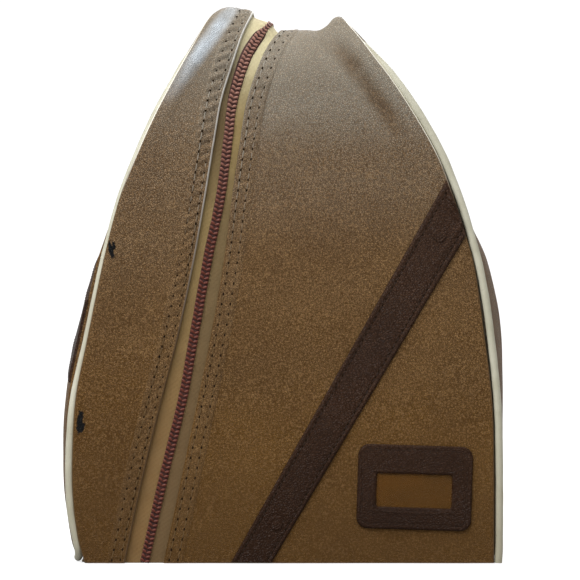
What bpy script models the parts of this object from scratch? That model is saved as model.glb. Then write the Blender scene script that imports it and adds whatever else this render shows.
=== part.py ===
"""Golf shoe bag: an upright, tapering vinyl case that holds a pair of shoes toe up.

One zip runs from the front of the base, over the top, to the back of the base. Everything to
the left of it is the lid, which folds down about its lower edge. The wrap is one bent sheet
that makes the front, the top and the back; a side panel closes each end of it.

Axes: +X to the right seen from the front, -Y the front, +Z up. The origin is the middle of
the footprint, on the surface that the bag stands on. Sizes below are in millimetres.
"""
import bisect
from math import cos, hypot, pi, radians, sin

import bmesh
import bpy
from mathutils import Matrix, Vector

MM = 0.001

# Driving dimensions of the case.
BASE_HALF_DEPTH = 80.0
TAPER = 0.0407              # how much each face leans in, per millimetre of height
CREST_HALF_DEPTH = 44.0     # half the length of the top, between its rounded shoulders
SHOULDER_RISE = 37.0
TOP_SAG = 18.0              # how far the middle of the top panel sags below its shoulders
LID_SAG = 3.0
SAG_QUICKNESS = 0.6         # below 1, the sag starts close behind the shoulder

# The edges seen from the front: each is (height, x) from the base up to the crest.
LEFT_SEAM = [(0, -123.5), (16, -128), (41, -131), (66, -131.4), (103, -129.3), (140, -122),
             (190, -111.6), (227, -102), (252, -92.4), (276, -81.8), (301, -68.8),
             (329, -52.4), (344.5, -39.7)]
LEFT_FOLD = [(0, -98.5), (53, -87.2), (103, -75), (140, -65.5), (190, -55), (227, -48.5),
             (264, -42.5), (289, -37.3), (314, -29.1), (330, -24.5), (343, -19)]
CHAIN = [(0, -86.5), (53, -74.6), (103, -62.5), (140, -55.8), (190, -46.8), (227, -39.2),
         (264, -34.3), (289, -30.5), (314, -22.1), (328, -14.5), (337.5, -7)]
RIGHT_FOLD = [(0, -74.5), (53, -63.4), (103, -52.9), (140, -45.3), (190, -36.7), (227, -32),
              (264, -26.7), (289, -21.9), (314, -12.4), (326, -5.6), (333, -0.5)]
RIGHT_SEAM = [(0, 131.5), (66, 131.5), (103, 130.2), (146, 125), (183, 119.7), (202, 114.7),
              (227, 106.6), (252, 97.3), (276, 84.3), (301, 68.2), (329, 45.9), (340, 36.6)]
EDGES = [LEFT_SEAM, LEFT_FOLD, CHAIN, RIGHT_FOLD, RIGHT_SEAM]
AT_LEFT_SEAM, AT_LEFT_FOLD, AT_CHAIN, AT_RIGHT_FOLD, AT_RIGHT_SEAM = range(5)

# Height of the crest at each place across the wrap, counted in edges from the left seam.
CREST = [(0, 344.5), (0.5, 345), (1, 343), (2, 337.5), (3, 333), (3.3, 331.5), (3.6, 331.8),
         (3.85, 335.5), (4, 340)]

# On the back the zip is straight up to this height, so its slider runs in a straight line.
STRAIGHT_ZIP_TOP = 227.0
STRAIGHT_ZIP_BASE_X = -86.5
STRAIGHT_ZIP_SLOPE = (39.2 - 86.5) / -STRAIGHT_ZIP_TOP

# Rows of the wrap from the base to the middle of the top.
STRAIGHT_ROWS = 10
SHOULDER_ROWS = 6
TOP_ROWS = 5
HALF_ROWS = STRAIGHT_ROWS + SHOULDER_ROWS + TOP_ROWS
ALL_ROWS = 2 * HALF_ROWS

# Sheets and trim.
GAP = 0.4
LOW_EDGE = 0.3
VINYL = 2.0
BOARD = 1.5
LINING = 0.8
TAPE = 0.8
TAPE_DEPTH = VINYL + 0.6
TAPE_TUCK = 6.0             # how far the tape reaches in under the fold
COIL_HALF_WIDTH = 3.9
COIL_HEIGHT = 2.0
CHAIN_GAP = 0.35
CHAIN_END = 45.0            # height at which the chain ends on the back
PIPING_RADIUS = 2.5
PIPING_OUT = PIPING_RADIUS + 0.3
PIPING_IN = 2.4
SIDE_OUT = 4.3              # how far the side panel stands outside the seam
SIDE_INSET = 5.8            # and how far its edge stays behind the wrap's face
RIGHT_BULGE = 12.0
LEFT_BULGE = 8.0
SIDE_COLUMNS = (-1, -0.85, -0.6, -0.3, 0, 0.3, 0.6, 0.85, 1)

# Trim on the front face: places are (x, height).
BAND_LOWER_LEFT = (-32.2, 1.2)
BAND_UPPER_LEFT = (100.2, 236.0)
BAND_LOWER_RIGHT = (-6.8, 1.2)
BAND_UPPER_RIGHT = (113.4, 203.0)
TRIM = 1.2
TRIM_GAP = 0.3
FRAME_CENTRE = (81.9, 47.3)
FRAME_SIZE = (71.5, 52.5)
FRAME_TILT = radians(-1.8)
WINDOW_CENTRE = (81.5, 45.3)
WINDOW_SIZE = (47.0, 21.0)
FILM = 0.3
RIVET_RADIUS = 4.0
RIVET_HEIGHT = 0.9
BAND_RIVETS = [("band_rivet_upper", (97.5, 204.0)), ("band_rivet_lower", (-4.5, 25.0))]

# Handle, over the sag along the middle of the top panel. Its ends slip in the end caps, so
# it bows upwards when it is lifted.
HANDLE_X = 18.0
HANDLE_WIDTH = 18.0
HANDLE_THICKNESS = 2.2
HANDLE_SEAT = 333.2
HANDLE_RISE = 3.6
HANDLE_REACH = 35.5
PAD_OUTER = 43.5
PAD_THICKNESS = 1.2
PAD_LIFT = 0.7
HANDLE_RIVET_RADIUS = 3.5

# Zip slider and pull.
SLIDER_HEIGHT = 37.0
SLIDER_LENGTH = 15.0
SLIDER_HALF_WIDTH = 5.6
SLIDER_WALL = 1.2
PULL_PIVOT_LIFT = 3.0
PULL_LENGTH = 23.0
PULL_WIDTH = 8.5
STOP_HEIGHT = 17.0

# The lid turns about the run of piping along its lower edge.
HINGE_X = -128.3
HINGE_Z = 2.7
LOWER_CORNER = 9.0


def clear_scene():
    """Remove whatever objects the file opened with."""
    for thing in list(bpy.data.objects):
        bpy.data.objects.remove(thing, do_unlink=True)


def material(name, color, roughness, metallic=0.0, alpha=1.0):
    """One plain Principled material."""
    made = bpy.data.materials.new(name)
    made.use_nodes = True
    shader = made.node_tree.nodes["Principled BSDF"]
    shader.inputs["Base Color"].default_value = (*color, 1.0)
    shader.inputs["Roughness"].default_value = roughness
    shader.inputs["Metallic"].default_value = metallic
    shader.inputs["Alpha"].default_value = alpha
    return made


def smooth_curve(points, at):
    """The value at a place on the smooth curve through (place, value) points."""
    places = [place for place, value in points]
    values = [value for place, value in points]
    if at <= places[0]:
        return values[0]
    if at >= places[-1]:
        return values[-1]

    def slope(index):
        low = max(index - 1, 0)
        high = min(index + 1, len(points) - 1)
        return (values[high] - values[low]) / (places[high] - places[low])

    first = bisect.bisect_right(places, at) - 1
    span = places[first + 1] - places[first]
    t = (at - places[first]) / span
    rise = values[first + 1] - values[first]
    from_start = slope(first) * span - rise
    from_end = rise - slope(first + 1) * span
    return values[first] + t * rise + t * (1 - t) * ((1 - t) * from_start + t * from_end)


def half_depth(height):
    """Distance of the front and back faces from the middle plane."""
    return BASE_HALF_DEPTH - TAPER * height


def profile(row, crest, sag):
    """Half depth, height and unsagged height at a row, counted up from the base."""
    shoulder = crest - SHOULDER_RISE
    if row <= STRAIGHT_ROWS:
        height = LOW_EDGE + (shoulder - LOW_EDGE) * row / STRAIGHT_ROWS
        return half_depth(height), height, height
    if row <= STRAIGHT_ROWS + SHOULDER_ROWS:
        angle = pi / 2 * (row - STRAIGHT_ROWS) / SHOULDER_ROWS
        reach = half_depth(shoulder) - CREST_HALF_DEPTH
        height = shoulder + SHOULDER_RISE * sin(angle)
        return CREST_HALF_DEPTH + reach * cos(angle), height, height
    along = (row - STRAIGHT_ROWS - SHOULDER_ROWS) / TOP_ROWS
    dip = sag * (1 - cos(pi * along ** SAG_QUICKNESS)) / 2
    return CREST_HALF_DEPTH * (1 - along), crest - dip, crest


def sag_at(across):
    """Depth of the sag in the middle of the top, across the wrap."""
    if across > AT_RIGHT_FOLD:
        return TOP_SAG * max(sin(pi * (across - AT_RIGHT_FOLD)), 0.0) ** 1.5
    if across < AT_LEFT_FOLD:
        return LID_SAG * sin(pi * across) ** 2
    return 0.0


def edge_x(edge, height, on_back):
    """Where one of the five edges is at a height."""
    x = smooth_curve(EDGES[edge], height)
    is_zip = edge in (AT_LEFT_FOLD, AT_CHAIN, AT_RIGHT_FOLD)
    if on_back and is_zip and height < STRAIGHT_ZIP_TOP:
        straight = STRAIGHT_ZIP_BASE_X + STRAIGHT_ZIP_SLOPE * height
        x += straight - smooth_curve(CHAIN, height)
    return x


def surface(path, across):
    """A point of the wrap. path runs from the front base over the top to the back base."""
    on_back = path > HALF_ROWS
    row = ALL_ROWS - path if on_back else path
    depth, height, _ = profile(row, smooth_curve(CREST, across), sag_at(across))
    left = min(int(across), AT_RIGHT_SEAM - 1)
    ends = []
    for edge in (left, left + 1):
        _, _, plain_height = profile(row, smooth_curve(CREST, edge), 0.0)
        ends.append(edge_x(edge, plain_height, on_back))
    x = ends[0] + (ends[1] - ends[0]) * (across - left)
    return Vector((x, depth if on_back else -depth, height))


def inward(path, across):
    """Unit vector from the wrap's outer face into the bag."""
    step = 0.05
    low_path = max(path - step, 0)
    high_path = min(path + step, ALL_ROWS)
    low_across = max(across - step, AT_LEFT_SEAM)
    high_across = min(across + step, AT_RIGHT_SEAM)
    along = surface(high_path, across) - surface(low_path, across)
    over = surface(path, high_across) - surface(path, low_across)
    return over.cross(along).normalized() * -1


def under(path, across, depth):
    """A point a given depth below the wrap's outer face."""
    return surface(path, across) + inward(path, across) * depth


def beside_chain(path, offset):
    """The place across the wrap that lies an offset in x from the chain's middle."""
    towards = AT_RIGHT_FOLD if offset > 0 else AT_LEFT_FOLD
    gap = abs(surface(path, towards).x - surface(path, AT_CHAIN).x)
    if abs(offset) <= gap:
        return AT_CHAIN + offset / gap
    far = AT_RIGHT_SEAM if offset > 0 else AT_LEFT_SEAM
    panel = abs(surface(path, far).x - surface(path, towards).x)
    beyond = (abs(offset) - gap) / panel
    return towards + beyond if offset > 0 else towards - beyond


def new_object(name, mesh, finish):
    """Link a mesh to the scene under a name, with one material."""
    thing = bpy.data.objects.new(name, mesh)
    mesh.materials.append(finish)
    bpy.context.collection.objects.link(thing)
    return thing


def mesh_of(name, points, faces, smooth=True):
    """A mesh from points in millimetres."""
    mesh = bpy.data.meshes.new(name)
    mesh.from_pydata([Vector(point) * MM for point in points], [], faces)
    mesh.validate()
    if smooth:
        mesh.shade_smooth()
        mesh.set_sharp_from_angle(angle=radians(35))
    return mesh


def thicken(thing, thickness):
    """Give a sheet its thickness, on the side that its normals point away from."""
    solid = thing.modifiers.new("thickness", "SOLIDIFY")
    solid.thickness = thickness * MM
    solid.offset = -1.0
    solid.use_even_offset = True


def sheet(name, grid, thickness, finish, flip=False):
    """A thick sheet through a grid of points; its outer face holds the points."""
    columns = len(grid[0])
    points = [point for row in grid for point in row]
    faces = []
    for row in range(len(grid) - 1):
        for column in range(columns - 1):
            corner = row * columns + column
            face = [corner, corner + 1, corner + columns + 1, corner + columns]
            faces.append(face[::-1] if flip else face)
    thing = new_object(name, mesh_of(name, points, faces), finish)
    thicken(thing, thickness)
    return thing


def plate(name, outline, thickness, finish, hole=None):
    """A flat plate: an outline of points on its outer face, with an optional hole.

    The hole has as many points as the outline, and the outline runs anticlockwise seen from
    outside.
    """
    points = list(outline)
    count = len(outline)
    if hole is None:
        faces = [list(range(count))]
    else:
        points += list(hole)
        faces = []
        for i in range(count):
            after = (i + 1) % count
            faces.append([i, after, count + after, count + i])
    thing = new_object(name, mesh_of(name, points, faces, smooth=False), finish)
    thicken(thing, thickness)
    return thing


def tube(name, points, radius, finish, closed=False):
    """A round cord through a list of points."""
    curve = bpy.data.curves.new(name, "CURVE")
    curve.dimensions = "3D"
    curve.bevel_depth = radius * MM
    curve.bevel_resolution = 2
    curve.use_fill_caps = not closed
    spline = curve.splines.new("POLY")
    spline.points.add(len(points) - 1)
    for slot, point in zip(spline.points, points):
        slot.co = (*(point * MM), 1.0)
    spline.use_cyclic_u = closed
    spline.use_smooth = True
    thing = bpy.data.objects.new(name, curve)
    curve.materials.append(finish)
    bpy.context.collection.objects.link(thing)
    return thing


def centre_origin(thing, pivot):
    """Move an object's origin to a point in millimetres, leaving its shape where it is."""
    place = Vector(pivot) * MM
    thing.data.transform(Matrix.Translation(-place))
    thing.location = place


# ---- The wrap: body panel, lid strip, zip tapes and chain ----

def wrap_sheet(name, columns, depth, thickness, finish, rows=range(ALL_ROWS + 1)):
    """A sheet that follows the wrap, with its outer face at a depth below the surface."""
    grid = [[under(path, across, depth) for across in columns] for path in rows]
    return sheet(name, grid, thickness, finish)


def chain_sheet(name, offsets, depth, thickness, finish, rows=range(ALL_ROWS + 1)):
    """A narrow sheet that follows the zip, at offsets in x from the chain's middle."""
    grid = []
    for path in rows:
        places = [beside_chain(path, offset) for offset in offsets]
        grid.append([under(path, across, depth) for across in places])
    return sheet(name, grid, thickness, finish)


def path_at_height(height):
    """The place along the back of the chain at a height."""
    shoulder = smooth_curve(CREST, AT_CHAIN) - SHOULDER_RISE
    return ALL_ROWS - STRAIGHT_ROWS * (height - LOW_EDGE) / (shoulder - LOW_EDGE)


def fold_reach(path, side):
    """How far the zip tape reaches from the chain's middle, under the fold."""
    fold = AT_RIGHT_FOLD if side > 0 else AT_LEFT_FOLD
    return abs(surface(path, fold).x - surface(path, AT_CHAIN).x) + TAPE_TUCK


def build_wrap(finishes):
    """The two vinyl parts of the wrap and the two halves of the zip."""
    body_columns = [3, 3.12, 3.25, 3.4, 3.55, 3.7, 3.85, 4]
    lid_columns = [0, 0.25, 0.5, 0.75, 1]
    wrap_sheet("body_wrap_panel", body_columns, 0.0, VINYL, finishes["vinyl"])
    wrap_sheet("lid_wrap_strip", lid_columns, 0.0, VINYL, finishes["vinyl"])
    last_coil_row = path_at_height(CHAIN_END)
    coil_rows = [path for path in range(ALL_ROWS + 1) if path < last_coil_row - 0.3]
    coil_rows.append(last_coil_row)
    for name, side in (("body", 1), ("lid", -1)):
        tape_rows = []
        for path in range(ALL_ROWS + 1):
            reach = fold_reach(path, side)
            offsets = [side * CHAIN_GAP, side * reach / 2, side * reach]
            places = [beside_chain(path, offset) for offset in sorted(offsets)]
            tape_rows.append([under(path, across, TAPE_DEPTH) for across in places])
        sheet(name + "_zip_tape", tape_rows, TAPE, finishes["tape"])
        offsets = sorted([side * CHAIN_GAP, side * COIL_HALF_WIDTH])
        coil_depth = TAPE_DEPTH - GAP - COIL_HEIGHT
        chain_sheet(name + "_zip_chain", offsets, coil_depth, COIL_HEIGHT, finishes["chain"],
                    coil_rows)


# ---- Sides: vinyl panel, board, lining and piping ----

def side_curve(edge, height):
    """The seam's place in the X-Z plane and the unit vector that points out of the side."""
    step = 0.5
    x = smooth_curve(EDGES[edge], height)
    rise = smooth_curve(EDGES[edge], height + step) - smooth_curve(EDGES[edge], height - step)
    outward = 1 if edge == AT_RIGHT_SEAM else -1
    length = hypot(rise, 2 * step)
    return Vector((x, 0, height)), Vector((2 * step * outward, 0, -rise * outward)) / length


def side_rows(edge, low, inset):
    """(height, half width) of each row of a side panel, up to its rounded top corners."""
    crest = smooth_curve(CREST, edge)
    shoulder = crest - SHOULDER_RISE
    rows = []
    corner_steps = 3
    corner = LOWER_CORNER if edge == AT_LEFT_SEAM else 0.0
    if corner:
        for step in range(corner_steps):
            angle = pi / 2 * step / corner_steps
            height = low + corner * (1 - cos(angle))
            rows.append((height, half_depth(height) - inset - corner * (1 - sin(angle))))
        low += corner
    for step in range(STRAIGHT_ROWS + 1):
        height = low + (shoulder - low) * step / STRAIGHT_ROWS
        rows.append((height, half_depth(height) - inset))
    for step in range(1, SHOULDER_ROWS + 1):
        angle = pi / 2 * step / SHOULDER_ROWS
        reach = half_depth(shoulder) - CREST_HALF_DEPTH - inset
        height = shoulder + (SHOULDER_RISE - inset) * sin(angle)
        rows.append((height, CREST_HALF_DEPTH + reach * cos(angle)))
    return rows


def bulge(edge, height, across):
    """How far a side panel swells outwards; across is -1 to 1 over its depth."""
    if edge == AT_RIGHT_SEAM:
        most, middle, spread = RIGHT_BULGE, 165.0, 120.0
    else:
        most, middle, spread = LEFT_BULGE, 130.0, 120.0
    away = min(abs(height - middle) / spread, 1.0)
    return most * cos(pi / 2 * away) ** 2 * (1 - across ** 2) ** 0.7


def side_sheet(name, edge, out, low, inset, thickness, swell, finish):
    """One layer of a side: out is how far its outer face stands from the seam."""
    grid = []
    for height, half_width in side_rows(edge, low, inset):
        seam, outward = side_curve(edge, height)
        row = []
        for across in SIDE_COLUMNS:
            reach = out + swell * bulge(edge, height, across)
            row.append(seam + outward * reach + Vector((0, across * half_width, 0)))
        grid.append(row)
    return sheet(name, grid, thickness, finish, flip=edge == AT_LEFT_SEAM)


def seam_frame(path, edge):
    """Seam point, and the unit vectors out of the side and into the bag."""
    step = 0.05
    low = surface(max(path - step, 0), edge)
    high = surface(min(path + step, ALL_ROWS), edge)
    tangent = (high - low).normalized()
    into = inward(path, edge)
    outward = tangent.cross(into).normalized()
    if (edge == AT_RIGHT_SEAM) != (outward.x > 0):
        outward.negate()
    return surface(path, edge), outward, into


def piping_points(edge):
    """The middle line of the piping along a seam, from the front base to the back base."""
    points = []
    for path in range(ALL_ROWS + 1):
        seam, outward, into = seam_frame(path, edge)
        points.append(seam + outward * PIPING_OUT + into * PIPING_IN)
    return points


def build_sides(finishes):
    """Both sides: what stiffens them, what lines them, and the piping round them."""
    layers = [("panel", SIDE_OUT, VINYL, 0.0, 1.0, "vinyl"),
              ("board", SIDE_OUT - VINYL - GAP, BOARD, 1.0, 0.0, "board"),
              ("lining", SIDE_OUT - VINYL - BOARD - 2 * GAP, LINING, 1.5, 0.0, "lining")]
    base_top = VINYL + GAP + LOW_EDGE
    for word, edge, low in (("left", AT_LEFT_SEAM, 7.8), ("right", AT_RIGHT_SEAM, LOW_EDGE)):
        for layer, out, thickness, more_inset, swell, finish in layers:
            start = low if layer == "panel" else max(low, base_top) + more_inset
            side_sheet(f"{word}_side_{layer}", edge, out, start, SIDE_INSET + more_inset,
                       thickness, swell, finishes[finish])
    right = piping_points(AT_RIGHT_SEAM)
    for end in (0, -1):
        right[end].z = 0.4
    tube("right_piping", right, PIPING_RADIUS, finishes["piping"])
    left = piping_points(AT_LEFT_SEAM)[1:-1]
    for end, inside in ((0, 1), (-1, -1)):
        above = left[end].copy()
        foot_y = above.y + inside * LOWER_CORNER
        steps = 5
        corner = []
        for step in range(1, steps + 1):
            angle = pi / 2 * step / steps
            height = HINGE_Z + LOWER_CORNER * (1 - sin(angle))
            seam_x = smooth_curve(LEFT_SEAM, height) - PIPING_OUT
            ease = sin(angle) ** 2
            x = seam_x * (1 - ease) + HINGE_X * ease
            corner.append(Vector((x, foot_y - inside * LOWER_CORNER * cos(angle), height)))
        start_height = HINGE_Z + LOWER_CORNER
        start_x = smooth_curve(LEFT_SEAM, start_height) - PIPING_OUT
        corner.insert(0, Vector((start_x, above.y, start_height)))
        if end == 0:
            left = corner[::-1] + left
        else:
            left = left + corner
    tube("left_piping", left, PIPING_RADIUS, finishes["piping"], closed=True)


# ---- Base ----

def build_base(finishes):
    """The vinyl base and the board that stiffens it."""
    reach = BASE_HALF_DEPTH - TAPE_DEPTH - TAPE - GAP
    left = HINGE_X + PIPING_RADIUS + GAP
    right = RIGHT_SEAM[0][1] - GAP
    outline = [(left, -reach), (right, -reach), (right, reach), (left, reach)]
    corners = [Vector((x, y, VINYL)) for x, y in outline]
    plate("base_panel", corners, VINYL, finishes["vinyl"])
    inset = 3.5
    inner = [(left + inset, -reach + inset), (right - inset - 1, -reach + inset),
             (right - inset - 1, reach - inset), (left + inset, reach - inset)]
    top = VINYL + GAP + 2.4
    corners = [Vector((x, y, top)) for x, y in inner]
    plate("base_board", corners, 2.4, finishes["board"])


# ---- Trim on the front: band, rivets, address frame and its film ----

def front_point(x, height, lift):
    """A point of the front face, lifted off it along its normal."""
    normal = Vector((0, -1, TAPER)).normalized()
    return Vector((x, -half_depth(height), height)) + normal * lift


def rounded_rectangle(centre, size, radius, tilt, steps=4):
    """(x, height) points anticlockwise round a rectangle with rounded corners."""
    points = []
    for corner in range(4):
        side_x = (1, -1, -1, 1)[corner]
        side_z = (1, 1, -1, -1)[corner]
        for step in range(steps + 1):
            angle = pi / 2 * (corner + step / steps)
            x = side_x * (size[0] / 2 - radius) + radius * cos(angle)
            z = side_z * (size[1] / 2 - radius) + radius * sin(angle)
            points.append((centre[0] + x * cos(tilt) - z * sin(tilt),
                           centre[1] + x * sin(tilt) + z * cos(tilt)))
    return points


def add_rivet(name, middle, radius, axis, finish):
    """A low round rivet head with a softened edge."""
    bpy.ops.mesh.primitive_cylinder_add(vertices=32, radius=radius * MM,
                                        depth=RIVET_HEIGHT * MM)
    rivet = bpy.context.object
    rivet.name = name
    rivet.data.materials.append(finish)
    rivet.location = middle * MM
    rivet.rotation_euler = axis.to_track_quat("Z", "Y").to_euler()
    edge = rivet.modifiers.new("edge", "BEVEL")
    edge.width = RIVET_HEIGHT * MM / 3
    edge.segments = 2


def build_front_trim(finishes):
    """The diagonal band and the address frame, each lying on the front face."""
    lift = TRIM_GAP + TRIM
    outline = [BAND_LOWER_LEFT, BAND_LOWER_RIGHT, BAND_UPPER_RIGHT]
    for step in range(1, 3):
        height = BAND_UPPER_RIGHT[1] + (BAND_UPPER_LEFT[1] - BAND_UPPER_RIGHT[1]) * step / 3
        outline.append((smooth_curve(RIGHT_SEAM, height) - 1.0, height))
    outline.append(BAND_UPPER_LEFT)
    points = [front_point(x, height, lift) for x, height in outline]
    plate("front_diagonal_band", points, TRIM, finishes["trim"])

    for name, place in BAND_RIVETS:
        middle = front_point(*place, lift + TRIM_GAP + RIVET_HEIGHT / 2)
        add_rivet(name, middle, RIVET_RADIUS, Vector((0, -1, TAPER)), finishes["trim"])

    film_lift = TRIM_GAP + FILM
    film_size = (WINDOW_SIZE[0] + 8, WINDOW_SIZE[1] + 8)
    film = rounded_rectangle(WINDOW_CENTRE, film_size, 2.0, FRAME_TILT, 2)
    plate("address_window_film", [front_point(x, z, film_lift) for x, z in film], FILM,
          finishes["film"])
    frame_lift = film_lift + TRIM_GAP + TRIM
    outer = rounded_rectangle(FRAME_CENTRE, FRAME_SIZE, 7.5, FRAME_TILT)
    hole = rounded_rectangle(WINDOW_CENTRE, WINDOW_SIZE, 1.5, FRAME_TILT)
    plate("address_frame", [front_point(x, z, frame_lift) for x, z in outer], TRIM,
          finishes["trim"], [front_point(x, z, frame_lift) for x, z in hole])


def build_left_band(finishes):
    """The short brown band that crosses the left side panel on the slant."""
    front_middle, slope, half_width, lift = 137.0, 0.42, 26.0, 1.4
    rows = []
    for step in range(-4, 5):
        row = []
        for across in SIDE_COLUMNS:
            depth = half_depth(front_middle) - SIDE_INSET - TRIM_GAP
            y = across * depth
            height = front_middle + slope * (y + depth) + half_width * step / 4
            panel_width = half_depth(height) - SIDE_INSET
            seam, outward = side_curve(AT_LEFT_SEAM, height)
            swell = bulge(AT_LEFT_SEAM, height, max(-1, min(1, y / panel_width)))
            row.append(seam + outward * (SIDE_OUT + swell + lift + TRIM) + Vector((0, y, 0)))
        rows.append(row)
    sheet("left_side_band", rows, TRIM, finishes["trim"], flip=True)


# ---- Handle ----

def top_place(x):
    """The place across the wrap at the crest where the top has a given x."""
    low = surface(HALF_ROWS, AT_RIGHT_FOLD).x
    high = surface(HALF_ROWS, AT_RIGHT_SEAM).x
    return AT_RIGHT_FOLD + (x - low) / (high - low)


def path_at_depth(y):
    """The place along the wrap where the top has a given y."""
    path = STRAIGHT_ROWS + SHOULDER_ROWS + TOP_ROWS * (1 - abs(y) / CREST_HALF_DEPTH)
    return path if y < 0 else ALL_ROWS - path


def build_handle(finishes):
    """A low strap over the sag in the top, and the two caps that hold its ends."""
    half = HANDLE_WIDTH / 2
    for word, side in (("front", -1), ("back", 1)):
        grid = []
        for reach in (HANDLE_REACH + 2 * GAP, (HANDLE_REACH + PAD_OUTER) / 2, PAD_OUTER):
            path = path_at_depth(side * reach)
            row = []
            for x in (HANDLE_X - half, HANDLE_X, HANDLE_X + half):
                top = surface(path, top_place(x))
                row.append(Vector((x, side * reach, top.z + PAD_LIFT + PAD_THICKNESS)))
            grid.append(row)
        sheet("handle_end_cap_" + word, grid, PAD_THICKNESS, finishes["trim"], flip=side > 0)
        rivet_y = side * (HANDLE_REACH + PAD_OUTER) / 2
        base = max(point.z for row in grid for point in row) + TRIM_GAP
        middle = Vector((HANDLE_X, rivet_y, base + RIVET_HEIGHT / 2))
        add_rivet("handle_rivet_" + word, middle, HANDLE_RIVET_RADIUS, Vector((0, 0, 1)),
                  finishes["brass"])
    grid = []
    steps = 12
    for step in range(steps + 1):
        y = HANDLE_REACH * (2 * step / steps - 1)
        height = HANDLE_SEAT + HANDLE_RISE * cos(pi / 2 * y / HANDLE_REACH) ** 2
        row = []
        for across in (-1, -0.6, 0, 0.6, 1):
            crown = 0.8 * (1 - across ** 2)
            row.append(Vector((HANDLE_X + across * half, y, height + crown)))
        grid.append(row)
    strap = sheet("handle_strap", grid, HANDLE_THICKNESS, finishes["trim"])
    centre_origin(strap, (HANDLE_X, 0, HANDLE_SEAT))


# ---- Zip slider, pull and end stops ----

def zip_axes(height):
    """Point of the chain on the back, and the unit vectors up it, out of it and across."""
    x = STRAIGHT_ZIP_BASE_X + STRAIGHT_ZIP_SLOPE * height
    up = Vector((STRAIGHT_ZIP_SLOPE, -TAPER, 1)).normalized()
    out = Vector((0, 1, TAPER)).normalized()
    return Vector((x, half_depth(height), height)), up, out, up.cross(out)


def prism(name, outline, ends, place, finish):
    """A bar with an (across, out) outline, drawn between two distances up the chain."""
    point, up, out, across = place
    points = []
    for end in ends:
        points += [point + across * a + out * o + up * end for a, o in outline]
    count = len(outline)
    faces = [list(range(count))[::-1], list(range(count, 2 * count))]
    for i in range(count):
        after = (i + 1) % count
        faces.append([i, after, count + after, count + i])
    mesh = mesh_of(name, points, faces, smooth=False)
    work = bmesh.new()
    work.from_mesh(mesh)
    bmesh.ops.recalc_face_normals(work, faces=work.faces)
    work.to_mesh(mesh)
    work.free()
    return new_object(name, mesh, finish)


def build_slider(finishes):
    """A channel that straddles the chain, with a bridge on top that holds the pull."""
    place = zip_axes(SLIDER_HEIGHT)
    point, up, out, across = place
    half = SLIDER_LENGTH / 2
    inner = SLIDER_HALF_WIDTH - SLIDER_WALL
    foot = -TAPE_DEPTH + GAP
    roof = GAP
    lid = roof + SLIDER_WALL
    channel = [(-SLIDER_HALF_WIDTH, foot), (-inner, foot), (-inner, roof), (inner, roof),
               (inner, foot), (SLIDER_HALF_WIDTH, foot), (SLIDER_HALF_WIDTH, lid),
               (-SLIDER_HALF_WIDTH, lid)]
    slider = prism("zip_slider", channel, (-half, half), place, finishes["brass"])

    bridge_half, bridge_reach, leg = 1.4, 4.0, 1.1
    top = PULL_PIVOT_LIFT + 1.3
    arch = [(-bridge_reach, lid - 0.3), (-bridge_reach, top + leg), (bridge_reach, top + leg),
            (bridge_reach, lid - 0.3), (bridge_reach - leg, lid - 0.3),
            (bridge_reach - leg, top), (-bridge_reach + leg, top),
            (-bridge_reach + leg, lid - 0.3)]
    turned = (point, across, out, up)
    bridge = prism("zip_slider_bridge", arch, (-bridge_half, bridge_half), turned,
                   finishes["brass"])
    join = slider.modifiers.new("bridge", "BOOLEAN")
    join.operation = "UNION"
    join.object = bridge
    bridge.hide_render = True
    bridge.display_type = "WIRE"
    centre_origin(slider, point)
    bridge.parent = slider
    bridge.matrix_parent_inverse = Matrix.Translation(-point * MM)

    pivot = point + out * PULL_PIVOT_LIFT
    bar, hole_half, hole_length = 1.3, 2.3, 5.6
    outline = []
    hole = []
    steps = 3
    for corner, (side, end) in enumerate(((1, 1), (-1, 1), (-1, -1), (1, -1))):
        for step in range(steps + 1):
            angle = pi / 2 * (corner + step / steps)
            radius = 2.0 if end > 0 else 3.0
            top_edge = bar / 2 - radius if end > 0 else -PULL_LENGTH + radius
            outline.append((side * (PULL_WIDTH / 2 - radius) + radius * cos(angle),
                            top_edge + radius * sin(angle)))
            small = 0.4
            hole_edge = -bar / 2 - small if end > 0 else -hole_length + small
            hole.append((side * (hole_half - small) + small * cos(angle),
                         hole_edge + small * sin(angle)))
    face = pivot + out * bar / 2
    loops = []
    for loop in (outline, hole):
        loops.append([face + across * a + up * b for a, b in loop])
    pull = plate("zip_pull", loops[0], bar, finishes["brass"], loops[1])
    centre_origin(pull, pivot)


def build_stops(finishes):
    """The two metal clips that end the chain on the back."""
    for name, side in (("body_zip_stop", 1), ("lid_zip_stop", -1)):
        place = zip_axes(STOP_HEIGHT)
        low, high = -TAPE_DEPTH + GAP, -TAPE_DEPTH + GAP + 1.8
        near, far = 0.4, 3.4
        # across points towards -X, so the body's clip lies on its negative side
        outline = [(-side * near, low), (-side * far, low), (-side * far, high),
                   (-side * near, high)]
        prism(name, outline, (-1.3, 1.3), place, finishes["brass"])


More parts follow.
